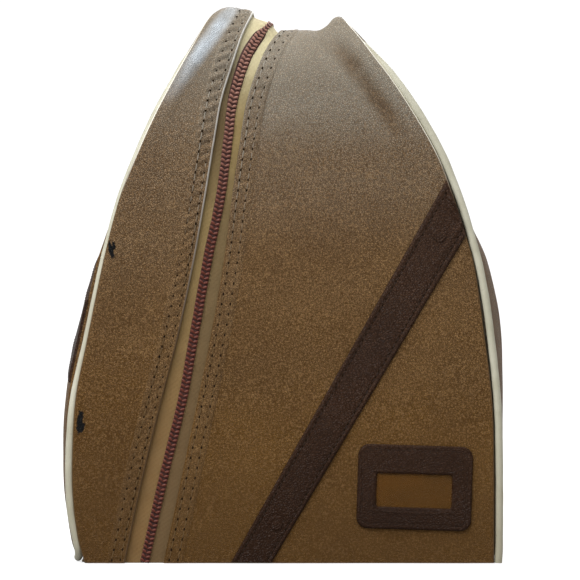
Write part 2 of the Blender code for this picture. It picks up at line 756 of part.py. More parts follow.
def main():
    """Build the whole bag."""
    clear_scene()
    finishes = {
        "vinyl": material("tan_vinyl", (0.155, 0.095, 0.045), 0.48),
        "trim": material("brown_vinyl", (0.035, 0.016, 0.010), 0.45),
        "piping": material("cream_piping", (0.47, 0.45, 0.33), 0.40),
        "tape": material("gold_zip_tape", (0.30, 0.19, 0.07), 0.85),
        "chain": material("russet_zip_coil", (0.16, 0.035, 0.020), 0.40),
        "board": material("grey_board", (0.23, 0.20, 0.16), 0.90),
        "lining": material("beige_lining", (0.42, 0.34, 0.23), 0.90),
        "film": material("clear_film", (0.80, 0.80, 0.78), 0.15, alpha=0.3),
        "brass": material("aged_brass", (0.50, 0.36, 0.15), 0.35, metallic=1.0),
    }
    build_wrap(finishes)
    build_sides(finishes)
    build_base(finishes)
    build_front_trim(finishes)
    build_left_band(finishes)
    build_handle(finishes)
    build_slider(finishes)
    build_stops(finishes)


main()
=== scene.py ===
"""Looks of the golf shoe bag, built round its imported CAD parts.

Sizes are in millimetres and become metres where a mesh is made. Axes are the CAD part's: +X to
the right seen from the front, -Y the front, +Z up. A place on the wrap is (path, across): path
runs from the front base over the top to the back base, and across counts the wrap's edges from
the left seam.
"""
from math import cos, pi, radians, sin

import bmesh
import bpy
import numpy as np
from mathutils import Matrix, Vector


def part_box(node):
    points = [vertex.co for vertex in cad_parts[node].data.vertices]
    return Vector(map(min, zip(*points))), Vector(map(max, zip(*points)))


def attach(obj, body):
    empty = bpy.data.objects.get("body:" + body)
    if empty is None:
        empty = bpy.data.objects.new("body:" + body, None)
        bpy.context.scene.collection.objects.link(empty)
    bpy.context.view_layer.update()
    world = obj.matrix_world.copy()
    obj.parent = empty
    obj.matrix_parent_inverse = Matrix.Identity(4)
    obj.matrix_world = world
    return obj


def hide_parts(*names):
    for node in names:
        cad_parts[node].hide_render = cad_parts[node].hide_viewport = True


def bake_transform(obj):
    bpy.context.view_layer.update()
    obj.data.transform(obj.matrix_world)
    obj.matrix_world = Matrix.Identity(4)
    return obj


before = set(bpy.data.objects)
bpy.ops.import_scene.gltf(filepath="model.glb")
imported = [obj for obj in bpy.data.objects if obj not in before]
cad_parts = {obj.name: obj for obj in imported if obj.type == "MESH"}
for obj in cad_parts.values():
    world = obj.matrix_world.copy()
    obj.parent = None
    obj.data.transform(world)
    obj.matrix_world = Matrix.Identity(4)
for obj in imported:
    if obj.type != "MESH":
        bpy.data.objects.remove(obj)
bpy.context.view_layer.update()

MM = 0.001

# Driving dimensions of the case, as in the CAD part.
BASE_HALF_DEPTH = 80.0
TAPER = 0.0407
CREST_HALF_DEPTH = 44.0
SHOULDER_RISE = 37.0
TOP_SAG = 18.0
LID_SAG = 3.0
SAG_QUICKNESS = 0.6
LEFT_SEAM = [(0, -123.5), (16, -128), (41, -131), (66, -131.4), (103, -129.3), (140, -122),
             (190, -111.6), (227, -102), (252, -92.4), (276, -81.8), (301, -68.8),
             (329, -53.2), (338, -48.2), (343, -44.2), (346.2, -39.8)]
LEFT_FOLD = [(0, -98.5), (53, -87.2), (103, -75), (140, -65.5), (190, -55), (227, -48.5),
             (264, -42.5), (289, -38.0), (314, -30.2), (330, -24.8), (343, -18.6)]
CHAIN = [(0, -86.5), (53, -74.6), (103, -62.5), (140, -55.8), (190, -46.8), (227, -39.2),
         (264, -34.3), (289, -31.1), (314, -23.3), (328, -15.5), (337.5, -7.5)]
RIGHT_FOLD = [(0, -74.5), (53, -63.4), (103, -52.9), (140, -45.3), (190, -36.7), (227, -32),
              (264, -26.7), (289, -22.4), (314, -13.8), (326, -7.4), (333, -1.2)]
RIGHT_SEAM = [(0, 131.5), (66, 131.5), (103, 130.2), (146, 125), (183, 119.7), (202, 114.7),
              (227, 106.6), (252, 97.3), (276, 84.3), (301, 68.2), (315, 57.6), (329, 47.2),
              (340, 37.8)]
EDGES = [LEFT_SEAM, LEFT_FOLD, CHAIN, RIGHT_FOLD, RIGHT_SEAM]
AT_LEFT_SEAM, AT_LEFT_FOLD, AT_CHAIN, AT_RIGHT_FOLD, AT_RIGHT_SEAM = range(5)
CREST = [(0, 346.2), (0.3, 346.2), (0.5, 345.4), (1, 343.6), (2, 337.5), (3, 332.2),
         (3.3, 332.2), (3.6, 332.4), (3.75, 334.0), (3.88, 337.6), (4, 340)]
STRAIGHT_ZIP_TOP = 227.0
STRAIGHT_ZIP_BASE_X = -86.5
STRAIGHT_ZIP_SLOPE = (39.2 - 86.5) / -STRAIGHT_ZIP_TOP
STRAIGHT_ROWS, SHOULDER_ROWS, TOP_ROWS = 10, 6, 5
HALF_ROWS = STRAIGHT_ROWS + SHOULDER_ROWS + TOP_ROWS
ALL_ROWS = 2 * HALF_ROWS
GAP = 0.4
LOW_EDGE = 0.3
VINYL = 2.0
BOARD = 1.5
LINING = 0.8
TAPE = 0.8
TAPE_DEPTH = VINYL + 0.6
TAPE_TUCK = 6.0
CHAIN_GAP = 0.06
CHAIN_END = 45.0
PIPING_RADIUS = 2.45
SIDE_OUT = 4.3
SIDE_INSET = 5.8
TOP_INSET = 2.0             # how far under the top the side panels stop
HINGE_X, HINGE_Z = -128.3, 2.7
LOWER_CORNER = 9.0
BAND_LOWER_LEFT, BAND_UPPER_LEFT = (-32.2, 1.2), (101.5, 238.3)
BAND_LOWER_RIGHT, BAND_UPPER_RIGHT = (-6.8, 1.2), (114.7, 205.2)
BAND_WIDTH = 21.5
TRIM_RISE = 1.5             # how far the band's face stands off the front
FRAME_CENTRE, FRAME_SIZE, FRAME_TILT = (81.9, 47.3), (71.5, 52.5), radians(-1.8)
WINDOW_CENTRE, WINDOW_SIZE = (81.5, 45.3), (47.0, 21.0)
BAND_RIVETS = {"band_rivet_upper": (97.5, 204.0), "band_rivet_lower": (-4.5, 25.0)}
# Pressed folds near the band's upper end, each from one (x, height) to another.
BAND_FOLDS = [((103.3, 222.0), (112.3, 210.9)),
              ((104.0, 227.6), (109.5, 219.9))]
HANDLE_X, HANDLE_WIDTH, HANDLE_THICKNESS = 18.0, 18.0, 2.2
HANDLE_SEAT, HANDLE_RISE, HANDLE_REACH = 330.2, 1.0, 35.5
PAD_THICKNESS, PAD_LIFT = 0.7, 0.15

# How far the sides stand out of their seams, by height: the piping's outermost line, the border
# of the side panel, and the swell in the panel's middle. Near the top all of it is tucked in.
LEFT_SHOWS = [(0, 3.9), (12, 4.4), (50, 4.4), (75, 4.3), (103, 3.6), (125, 2.9), (150, 2.6),
              (190, 2.3), (210, 1.9), (289, 1.9), (301, 1.4), (314, 1.1), (326, 0.2), (345, -0.8)]
RIGHT_SHOWS = [(0, 4.9), (12, 5.5), (105, 5.6), (152, 6.2), (190, 5.3), (225, 5.7), (245, 5.2),
               (285, 4.9), (305, 3.9), (315, 3.2), (322, 2.0), (329, 0.4), (341, -0.7)]
LEFT_BORDER = [(0, 4.3), (100, 4.3), (185, 4.0), (200, 2.6), (214, 1.4), (240, 1.0), (310, 0.7),
               (345, -0.6)]
RIGHT_BORDER = [(0, 4.3), (200, 4.3), (285, 3.8), (305, 2.9), (320, 1.4), (341, -0.6)]
LEFT_SWELL = [(0, 0), (30, 2.8), (60, 4.4), (85, 5.2), (115, 4.8), (140, 3.4), (165, 1.9),
              (185, 1.0), (200, 0.8), (214, 0.8), (250, 0.5), (300, 0.2), (345, 0)]
RIGHT_SWELL = [(0, 0), (40, 2.4), (75, 4.2), (95, 5.4), (115, 7.4), (135, 9.0), (152, 9.4),
               (165, 8.7), (185, 6.8), (195, 5.2), (205, 3.4), (225, 1.8), (260, 0.7), (300, 0.2),
               (345, 0)]

# Sewing.
STITCH = 6.5                # one stitch, hole to hole
STITCH_ROWS = (3.2, 8.6)    # distance of the two rows from the fold
HEM_WIDTH = 12.0
HEM_RAISE = 0.6
COIL_PITCH = 2.86
KNUCKLE_TILTS = {-1: radians(-32), 1: radians(26)}    # of each half's knuckles, by side
BAND_STITCH, SIDE_BAND_STITCH, FRAME_STITCH, HANDLE_STITCH, BASE_STITCH = 4.2, 4.0, 3.4, 3.6, 4.0
BAND_ROW, SIDE_BAND_ROW, FRAME_ROW, HANDLE_ROW, BASE_ROW = 3.0, 3.2, 3.2, 2.6, 6.0    # from the edge
SEAM_TURN = 2.4             # over how far from the seam the wrap's edge rolls in
TAPE_DOME = 1.9             # how far the tape swells up over the top

# Stage, in metres and watts. The floor and the background glow white for the camera only; what
# lights the bag is the world's strength by direction, the floor's own grey and the lamps.
WORLD_ABOVE, WORLD_LEVEL, WORLD_BELOW = 0.9, 0.35, 0.15
FLOOR_GREY, FLOOR_GLOW = 0.40, 0.80
CAMERA_PLACE, CAMERA_AIM, CAMERA_LENS = (0.0043, -2.278, 0.250), (0.0043, -0.078, 0.1703), 220.0
# Each lamp's name, place, aim, size, power and colour.
LIGHTS = [("key_overhead", (-0.35, -0.75, 1.35), (0, 0, 0.2), 1.0, 16.0, (1.0, 0.99, 0.97)),
          ("sky_left", (-1.1, -0.7, 1.1), (0, 0, 0.25), 0.8, 7.0, (0.90, 0.95, 1.0)),
          ("back_fill", (0.5, 1.2, 1.2), (0, 0, 0.2), 1.0, 10.0, (1.0, 1.0, 1.0))]


# ---- Shape of the case ----

def smooth_curve(points, at):
    """Values at places on the smooth curve through (place, value) points."""
    places, values = np.array(points, float).T
    at = np.clip(np.asarray(at, float), places[0], places[-1])
    first = np.clip(np.searchsorted(places, at, side="right") - 1, 0, len(places) - 2)
    index = np.arange(len(places))
    low, high = np.maximum(index - 1, 0), np.minimum(index + 1, len(places) - 1)
    slopes = (values[high] - values[low]) / (places[high] - places[low])
    span = places[first + 1] - places[first]
    t = (at - places[first]) / span
    rise = values[first + 1] - values[first]
    from_start = slopes[first] * span - rise
    from_end = rise - slopes[first + 1] * span
    return values[first] + t * rise + t * (1 - t) * ((1 - t) * from_start + t * from_end)


def step_between(value, low, high):
    """A smooth step from 0 at low to 1 at high."""
    t = np.clip((value - low) / (high - low), 0, 1)
    return t * t * (3 - 2 * t)


def bell(offset, width):
    """A smooth bump: 1 where the offset is 0, falling to almost nothing at twice the width."""
    return np.exp(-(offset / width) ** 2)


def quarter_round(share):
    """A turned edge's rise: a quarter circle from 0 at the edge to 1 at a share of 1."""
    return np.sqrt(1 - (1 - np.clip(share, 0, 1)) ** 2)


def half_depth(height):
    """Distance of the front and back faces from the middle plane."""
    return BASE_HALF_DEPTH - TAPER * height


def profile(row, crest, sag):
    """Half depth, height and unsagged height at rows counted up from the base."""
    shoulder = crest - SHOULDER_RISE
    height = LOW_EDGE + (shoulder - LOW_EDGE) * np.clip(row / STRAIGHT_ROWS, 0, 1)
    angle = pi / 2 * np.clip((row - STRAIGHT_ROWS) / SHOULDER_ROWS, 0, 1)
    along = np.clip((row - STRAIGHT_ROWS - SHOULDER_ROWS) / TOP_ROWS, 0, 1)
    reach = half_depth(shoulder) - CREST_HALF_DEPTH
    curved = CREST_HALF_DEPTH * (1 - along) + reach * np.cos(angle)
    depth = np.where(row > STRAIGHT_ROWS, curved, half_depth(height))
    height = height + SHOULDER_RISE * np.sin(angle)
    dip = sag * (1 - np.cos(pi * along ** SAG_QUICKNESS)) / 2
    return depth, height - dip, height


def sag_at(across):
    """Depth of the sag in the middle of the top, across the wrap."""
    body = TOP_SAG * np.clip(np.sin(pi * (across - AT_RIGHT_FOLD)), 0, 1) ** 1.5
    lid = LID_SAG * np.sin(pi * across) ** 2
    return np.where(across > AT_RIGHT_FOLD, body, np.where(across < AT_LEFT_FOLD, lid, 0.0))


def edge_x(edge, height, on_back):
    """Where one of the five edges is at each height."""
    x = smooth_curve(EDGES[edge], height)
    if edge in (AT_LEFT_SEAM, AT_RIGHT_SEAM):
        return x
    straight = STRAIGHT_ZIP_BASE_X + STRAIGHT_ZIP_SLOPE * height - smooth_curve(CHAIN, height)
    return x + np.where(on_back & (height < STRAIGHT_ZIP_TOP), straight, 0.0)


def surface(path, across):
    """Points of the wrap's plain outer face."""
    path, across = np.broadcast_arrays(np.asarray(path, float), np.asarray(across, float))
    on_back = path > HALF_ROWS
    row = np.where(on_back, ALL_ROWS - path, path)
    depth, height, _ = profile(row, smooth_curve(CREST, across), sag_at(across))
    x = np.zeros_like(height)
    for edge in range(len(EDGES)):
        _, _, plain = profile(row, smooth_curve(CREST, edge), 0.0)
        x += np.clip(1 - abs(across - edge), 0, 1) * edge_x(edge, plain, on_back)
    return np.stack([x, np.where(on_back, depth, -depth), height], axis=-1)


def unit(vectors):
    """Vectors made one long."""
    return vectors / np.linalg.norm(vectors, axis=-1, keepdims=True)


def inward(path, across):
    """Unit vectors from the wrap's outer face into the bag."""
    step = 0.05
    along = (surface(np.minimum(path + step, ALL_ROWS), across)
             - surface(np.maximum(path - step, 0), across))
    over = (surface(path, np.minimum(across + step, AT_RIGHT_SEAM))
            - surface(path, np.maximum(across - step, AT_LEFT_SEAM)))
    return -unit(np.cross(over, along))


def beside_chain(path, offset):
    """Places across the wrap that lie an offset in x from the chain's middle."""
    side = np.sign(offset)
    middle = surface(path, AT_CHAIN)[..., 0]
    fold = surface(path, AT_CHAIN + side)[..., 0]
    seam = surface(path, AT_CHAIN + 2 * side)[..., 0]
    gap, panel = abs(fold - middle), abs(seam - fold)
    reach = abs(offset)
    share = np.where(reach <= gap, reach / gap, 1 + (reach - gap) / panel)
    return AT_CHAIN + side * share


def panel_edges(path, is_body):
    """x of the fold and of the seam of the body's or the lid's half of the wrap."""
    fold = surface(path, np.where(is_body, AT_RIGHT_FOLD, AT_LEFT_FOLD))[..., 0]
    seam = surface(path, np.where(is_body, AT_RIGHT_SEAM, AT_LEFT_SEAM))[..., 0]
    return fold, seam


def arc_table():
    """Path places and the length along the right fold up to each."""
    places = np.linspace(0, ALL_ROWS, 2000)
    points = surface(places, AT_RIGHT_FOLD)
    steps = np.linalg.norm(np.diff(points, axis=0), axis=1)
    return places, np.concatenate([[0], np.cumsum(steps)])


ARC_PLACES, ARC_LENGTHS = arc_table()


def face_lift(path, across):
    """How far the finished face stands out of the plain one."""
    path, across = np.broadcast_arrays(np.asarray(path, float), np.asarray(across, float))
    is_body = across > AT_CHAIN
    point = surface(path, across)
    x, y, height = point[..., 0], point[..., 1], point[..., 2]
    fold, seam = panel_edges(path, is_body)
    from_fold, from_seam = abs(x - fold), abs(seam - x)
    along = np.interp(path, ARC_PLACES, ARC_LENGTHS)

    lift = HEM_RAISE * (1 - step_between(from_fold, HEM_WIDTH - 1.2, HEM_WIDTH + 0.6))
    for row in STITCH_ROWS:
        lift -= 0.18 * bell(from_fold - row, 0.8)
    strength = np.where(is_body, 0.22, 0.62) * (0.35 + 0.65 * step_between(height, 90, 280))
    window = step_between(from_fold, 0.5, 3.5) * (1 - step_between(from_fold, 8.5, 13.5))
    skew = np.where(is_body, -0.5, 0.6)
    phase = 2 * pi * (along + skew * from_fold) / STITCH
    lift += strength * window * (np.sin(phase) + 0.2 * np.sin(0.37 * phase + 1.0))

    row = np.minimum(path, ALL_ROWS - path)
    near_crest = bell(row - 15.2, 0.9)
    peak = 3.0 * bell(from_seam - 3.5, 4.5)
    saddle = 2.5 * bell(from_seam - 12.5, 6.0)
    brow = 0.7 * bell(from_seam - 22.0, 8.0)
    lift += np.where(is_body, near_crest * (peak + saddle + brow), 0.0)
    roll = bell(from_seam - 7.0, 4.0) * step_between(height, 255, 320)
    lift += np.where(is_body, 0.0, 1.1 * roll)

    round_over = np.clip((SEAM_TURN - from_seam) / SEAM_TURN, 0, 1)
    lift -= 1.4 * (1 - np.sqrt(1 - round_over ** 2))
    calm = step_between(from_fold, 6, 30) * step_between(from_seam, 2, 22)
    wave = (np.sin(0.031 * x + 0.019 * height + 1.3) * np.sin(0.024 * height - 0.012 * x + 0.6)
            + 0.45 * np.sin(0.067 * x - 0.041 * height) * np.sin(0.052 * height + 0.5))
    lift += 0.7 * calm * wave
    front = np.where(y < 0, 1.0, 0.6)
    valley = bell(from_seam - 15, 5.5) * step_between(height, 255, 300)
    ridge = bell(from_seam - 6.0, 4.0) * step_between(height, 255, 300)
    calm_top = 1 - 0.5 * step_between(height, 322, 338)
    lift += np.where(is_body, front * calm_top * (0.6 * ridge - 3.0 * valley), 0.0)
    return lift


def on_face(path, across, depth=0.0):
    """Points a depth below the finished face; a negative depth stands proud of it."""
    below = (depth - face_lift(path, across))[..., None]
    return surface(path, across) + inward(path, across) * below


def place_on_front(x, height):
    """The (path, across) of points of the body's front face, from their x and height."""
    across = np.full(np.shape(x), 3.5)
    for _ in range(8):
        shoulder = smooth_curve(CREST, across) - SHOULDER_RISE
        path = STRAIGHT_ROWS * (height - LOW_EDGE) / (shoulder - LOW_EDGE)
        fold, seam = panel_edges(path, np.full(np.shape(x), True))
        across = AT_RIGHT_FOLD + np.clip((x - fold) / (seam - fold), 0, 1)
    return path, across


def on_front(x, height, lift):
    """Points that stand a lift proud of the finished front face."""
    x, height, lift = np.broadcast_arrays(*[np.asarray(v, float) for v in (x, height, lift)])
    path, across = place_on_front(x, height)
    return on_face(path, across, -lift)


def side_curve(edge, height):
    """Seam places in the X-Z plane and the unit vectors that point out of the side."""
    step = 0.5
    height = np.asarray(height, float)
    x = smooth_curve(EDGES[edge], height)
    rise = smooth_curve(EDGES[edge], height + step) - smooth_curve(EDGES[edge], height - step)
    outward = 1 if edge == AT_RIGHT_SEAM else -1
    zero = np.zeros_like(x)
    normal = np.stack([2 * step * outward + zero, zero, -rise * outward], axis=-1)
    return np.stack([x, zero, height], axis=-1), unit(normal)


def border_shift(edge, height):
    """How far a side's layers stand out of where they are at the base."""
    return smooth_curve(RIGHT_BORDER if edge == AT_RIGHT_SEAM else LEFT_BORDER, height) - SIDE_OUT


def side_point(edge, height, y, out):
    """Points of a side panel's outer face, with its swell and its soft creases."""
    height, y, out = np.broadcast_arrays(height, y, out)
    seam, outward = side_curve(edge, height)
    half_width = half_depth(np.minimum(height, 300.0)) - SIDE_INSET
    across = np.clip(y / half_width, -1, 1)
    swells = RIGHT_SWELL if edge == AT_RIGHT_SEAM else LEFT_SWELL
    swell = smooth_curve(swells, height) * (1 - across ** 2) ** 0.7
    shift = 0.8 if edge == AT_RIGHT_SEAM else 2.1
    out = out + border_shift(edge, height)
    calm = (1 - across ** 2) * step_between(height, 5, 40)
    wave = (np.sin(0.045 * y + 0.021 * height + shift) * np.sin(0.032 * height - 0.02 * y)
            + 0.5 * np.sin(0.11 * y + 0.06 * height + shift) * np.sin(0.05 * height + shift))
    return seam + outward * (out + swell + 0.6 * calm * wave)[..., None] + np.stack(
        [0 * y, y, 0 * y], axis=-1)


# ---- Mesh makers ----

def mesh_object(name, points, faces, materials, slots=None, smooth_angle=50):
    """An object from points in millimetres, with its normals facing out."""
    mesh = bpy.data.meshes.new(name)
    mesh.from_pydata((np.asarray(points, float).reshape(-1, 3) * MM).tolist(), [], faces)
    for one in materials:
        mesh.materials.append(one)
    if slots is not None:
        mesh.polygons.foreach_set("material_index", slots)
    work = bmesh.new()
    work.from_mesh(mesh)
    bmesh.ops.recalc_face_normals(work, faces=work.faces)
    work.to_mesh(mesh)
    work.free()
    mesh.shade_smooth()
    mesh.set_sharp_from_angle(angle=radians(smooth_angle))
    thing = bpy.data.objects.new(name, mesh)
    bpy.context.scene.collection.objects.link(thing)
    return thing


def ring_mesh(name, rings, materials, slot_of_column=None, closed=False):
    """A tube-like body through rings of points (rings x columns), capped at both ends."""
    count, columns = rings.shape[:2]
    faces, slots = [], []
    for ring in range(count if closed else count - 1):
        here, after = ring * columns, (ring + 1) % count * columns
        for column in range(columns):
            beside = (column + 1) % columns
            faces.append((here + column, here + beside, after + beside, after + column))
            slots.append(slot_of_column[column] if slot_of_column else 0)
    if not closed:
        faces += [tuple(range(columns)), tuple(range((count - 1) * columns, count * columns))]
        slots += [0, 0]
    return mesh_object(name, rings, faces, materials, slots)


def slab(name, outer, inner, materials):
    """A closed sheet between two grids of points; the second material is its inside."""
    rows, columns = outer.shape[:2]
    below = rows * columns
    faces, slots = [], []
    for row in range(rows - 1):
        for column in range(columns - 1):
            corner = row * columns + column
            face = (corner, corner + 1, corner + columns + 1, corner + columns)
            faces += [face, tuple(below + index for index in reversed(face))]
            slots += [0, min(1, len(materials) - 1)]
    border = list(range(columns))
    border += [row * columns + columns - 1 for row in range(1, rows)]
    border += [(rows - 1) * columns + column for column in reversed(range(columns - 1))]
    border += [row * columns for row in reversed(range(1, rows - 1))]
    for here, after in zip(border, border[1:] + border[:1]):
        faces.append((after, here, below + here, below + after))
        slots.append(0)
    points = np.concatenate([outer.reshape(-1, 3), inner.reshape(-1, 3)])
    return mesh_object(name, points, faces, materials, slots)


def line_frames(points, closed=False):
    """Unit vectors along a line of points."""
    if closed:
        return unit(np.roll(points, -1, axis=0) - np.roll(points, 1, axis=0))
    return unit(np.gradient(points, axis=0))


def resample(points, spacing, closed=False):
    """Evenly spaced points on a line of points."""
    points = np.asarray(points, float)
    if closed:
        points = np.concatenate([points, points[:1]])
    steps = np.linalg.norm(np.diff(points, axis=0), axis=1)
    lengths = np.concatenate([[0], np.cumsum(steps)])
    count = max(int(round(lengths[-1] / spacing)), 2)
    at = np.linspace(0, lengths[-1], count + 1)
    if closed:
        at = at[:-1]
    return np.stack([np.interp(at, lengths, points[:, axis]) for axis in range(3)], axis=1)


def tube(name, points, radius, material, sides=16, closed=False, wobble=0.0):
    """A round cord along a line of points."""
    along = line_frames(points, closed)
    up = np.array([0.0, 1.0, 0.0])
    side = np.cross(along[0], up)
    if np.linalg.norm(side) < 0.1:
        side = np.cross(along[0], [1.0, 0.0, 0.0])
    rings = []
    for index, (point, forward) in enumerate(zip(points, along)):
        side = side - forward * np.dot(side, forward)
        side /= np.linalg.norm(side)
        over = np.cross(forward, side)
        swell = radius * (1 + wobble * sin(0.61 * index) * sin(0.17 * index + 1))
        angle = np.linspace(0, 2 * pi, sides, endpoint=False)[:, None]
        rings.append(point + swell * (np.cos(angle) * side + np.sin(angle) * over))
    return ring_mesh(name, np.array(rings), [material], closed=closed)


def blob(rings=7, sides=8, taper=0.0):
    """Points and faces of a unit ball drawn out along x, thinner towards +x by the taper."""
    points = [(-1.0, 0.0, 0.0)]
    for ring in range(1, rings):
        x = -cos(pi * ring / rings)
        radius = sin(pi * ring / rings) * (1 - taper * (x + 1) / 2)
        for side in range(sides):
            angle = 2 * pi * side / sides
            points.append((x, radius * cos(angle), radius * sin(angle)))
    points.append((1.0, 0.0, 0.0))
    last = len(points) - 1
    faces = []
    for side in range(sides):
        beside = (side + 1) % sides
        faces.append((0, 1 + beside, 1 + side))
        faces.append((last, last - sides + side, last - sides + beside))
        for ring in range(rings - 2):
            here, after = 1 + ring * sides, 1 + (ring + 1) * sides
            faces.append((here + side, here + beside, after + beside, after + side))
    return np.array(points), faces


def scatter(name, shapes, materials):
    """One object from copies of unit shapes.

    shapes lists (points, faces, origins, axes, slot); axes are (copies, 3, 3) rows for x, y
    and z that already hold the sizes.
    """
    points, faces, slots = [], [], []
    start = 0
    for unit_points, unit_faces, origins, axes, slot in shapes:
        placed = np.einsum("pi,kij->kpj", unit_points, axes) + origins[:, None, :]
        points.append(placed.reshape(-1, 3))
        for copy in range(len(origins)):
            base = start + copy * len(unit_points)
            faces += [tuple(base + index for index in face) for face in unit_faces]
            slots += [slot] * len(unit_faces)
        start += placed.shape[0] * placed.shape[1]
    return mesh_object(name, np.concatenate(points), faces, materials, slots, 80)


def lathe(name, outline, centre, axis, materials, sides=40):
    """A turned piece: outline is (radius, height) from the rim to the middle."""
    axis = Vector(axis).normalized()
    turn = axis.to_track_quat("Z", "Y").to_matrix()
    side, over = np.array(turn.col[0]), np.array(turn.col[1])
    points, faces = [], []
    for radius, height in outline:
        for step in range(sides):
            angle = 2 * pi * step / sides
            points.append(np.array(centre) + np.array(axis) * height
                          + radius * (cos(angle) * side + sin(angle) * over))
    for ring in range(len(outline) - 1):
        for step in range(sides):
            beside = (step + 1) % sides
            here, after = ring * sides, (ring + 1) * sides
            faces.append((here + step, here + beside, after + beside, after + step))
    top = (len(outline) - 1) * sides
    faces += [tuple(range(sides)), tuple(range(top, top + sides))]
    return mesh_object(name, points, faces, materials)


# ---- Materials ----

def add(tree, kind, inputs=None, **settings):
    """One node. inputs maps a socket's name or number to a value or to another socket."""
    made = tree.nodes.new(kind)
    for key, value in settings.items():
        setattr(made, key, value)
    for key, value in (inputs or {}).items():
        if isinstance(value, bpy.types.NodeSocket):
            tree.links.new(value, made.inputs[key])
        else:
            made.inputs[key].default_value = value
    return made


def start_material(name, **uniform):
    """A material's tree, its Principled shader and the object coordinates."""
    made = bpy.data.materials.new(name)
    made.use_nodes = True
    tree = made.node_tree
    shader = tree.nodes["Principled BSDF"]
    for key, value in uniform.items():
        shader.inputs[key.replace("_", " ")].default_value = value
    place = add(tree, "ShaderNodeTexCoord").outputs["Object"]
    return made, tree, shader, place


def noise(tree, place, scale, detail=3.0, roughness=0.55):
    """A noise texture's value."""
    return add(tree, "ShaderNodeTexNoise", {
        "Vector": place, "Scale": scale, "Detail": detail, "Roughness": roughness}).outputs[0]


def maths(tree, operation, first, second=0.0, clamp=False):
    """The result of one sum."""
    return add(tree, "ShaderNodeMath", {0: first, 1: second}, operation=operation,
               use_clamp=clamp).outputs[0]


def times(tree, first, second):
    """The product of two values."""
    return maths(tree, "MULTIPLY", first, second)


def spread(tree, value, low, high, to_low=0.0, to_high=1.0):
    """A value's range moved smoothly to another range."""
    return add(tree, "ShaderNodeMapRange", {
        "Value": value, "From Min": low, "From Max": high, "To Min": to_low,
        "To Max": to_high}, interpolation_type="SMOOTHSTEP").outputs[0]


def ramp(tree, value, span, stops):
    """A value's smooth curve through (place, level) stops, over a span of places."""
    node = add(tree, "ShaderNodeValToRGB", {0: maths(tree, "DIVIDE", value, span)})
    node.color_ramp.interpolation = "EASE"
    elements = node.color_ramp.elements
    while len(elements) < len(stops):
        elements.new(0.5)
    for element, stop in zip(elements, stops):
        element.position = stop[0] / span
    for element, stop in zip(elements, stops):
        element.color = (stop[1], stop[1], stop[1], 1.0)
    return node.outputs[0]


def mix(tree, share, first, second, blend="MIX"):
    """Two colours mixed."""
    node = add(tree, "ShaderNodeMix", data_type="RGBA", blend_type=blend)
    for socket, value in ((node.inputs[0], share), (node.inputs[6], first),
                          (node.inputs[7], second)):
        if isinstance(value, bpy.types.NodeSocket):
            tree.links.new(value, socket)
        elif isinstance(value, tuple):
            socket.default_value = (*value, 1.0)
        else:
            socket.default_value = value
    return node.outputs[2]


def bump(tree, shader, height, distance):
    """Relief on the shader's normal, with its depth in metres."""
    node = add(tree, "ShaderNodeBump", {"Height": height, "Distance": distance, "Strength": 1.0})
    tree.links.new(node.outputs[0], shader.inputs["Normal"])


def axis_of(tree, place, axis):
    """One coordinate of a place."""
    return add(tree, "ShaderNodeSeparateXYZ", {0: place}).outputs[axis]


def noise_colour(tree, place, scale):
    """A noise texture's three-part value."""
    return add(tree, "ShaderNodeTexNoise", {"Vector": place, "Scale": scale}).outputs["Color"]


def pebble(tree, place, cell):
    """Leather grain: 0 in the creases and 1 on the pebbles. cell is a pebble's size."""
    warp = add(tree, "ShaderNodeVectorMath", {0: noise_colour(tree, place, 0.7 / cell),
                                              "Scale": 0.35 * cell}, operation="SCALE")
    moved = add(tree, "ShaderNodeVectorMath", {0: place, 1: warp.outputs[0]})
    cells = add(tree, "ShaderNodeTexVoronoi", {"Vector": moved.outputs[0], "Scale": 1 / cell},
                feature="DISTANCE_TO_EDGE")
    return spread(tree, cells.outputs["Distance"], 0.0, 0.35)


def patch(tree, place, centre, size, tilt):
    """1 inside a ragged oval on the front face, 0 outside. Sizes are in millimetres."""
    node = add(tree, "ShaderNodeMapping", {
        "Location": tuple(value * MM for value in centre), "Rotation": (0, tilt, 0),
        "Scale": (size[0] * MM, 0.03, size[1] * MM)}, vector_type="TEXTURE")
    tree.links.new(place, node.inputs[0])
    reach = add(tree, "ShaderNodeVectorMath", {0: node.outputs[0]}, operation="LENGTH")
    ragged = maths(tree, "ADD", reach.outputs["Value"],
                   times(tree, noise(tree, place, 420.0, 4.0), 1.1))
    return spread(tree, ragged, 1.45, 1.2)


SCUFFS = [((-107.2, -76, 195.5), (2.0, 7.0), radians(-14)),
          ((-105.5, -76, 197.5), (1.6, 3.0), radians(-8)),
          ((-126.5, -77, 88.0), (2.4, 9.5), radians(8)),
          ((-125.0, -77, 84.5), (2.0, 4.0), radians(20))]


def painted_valley_shade(tree, place):
    """1 in the crease that runs down beside the body's upper right edge, where shade is painted."""
    slant = maths(tree, "ADD", axis_of(tree, place, 0), times(tree, axis_of(tree, place, 2), 0.70))
    off = maths(tree, "ABSOLUTE", maths(tree, "SUBTRACT", slant, 0.2605))
    lower = spread(tree, axis_of(tree, place, 2), 0.245, 0.285)
    upper = spread(tree, axis_of(tree, place, 2), 0.333, 0.312)
    along = times(tree, lower, upper)
    ragged = spread(tree, noise(tree, place, 55.0, 4.0), 0.3, 0.7, 1.0, 0.6)
    return times(tree, times(tree, spread(tree, off, 0.014, 0.0), along), ragged)


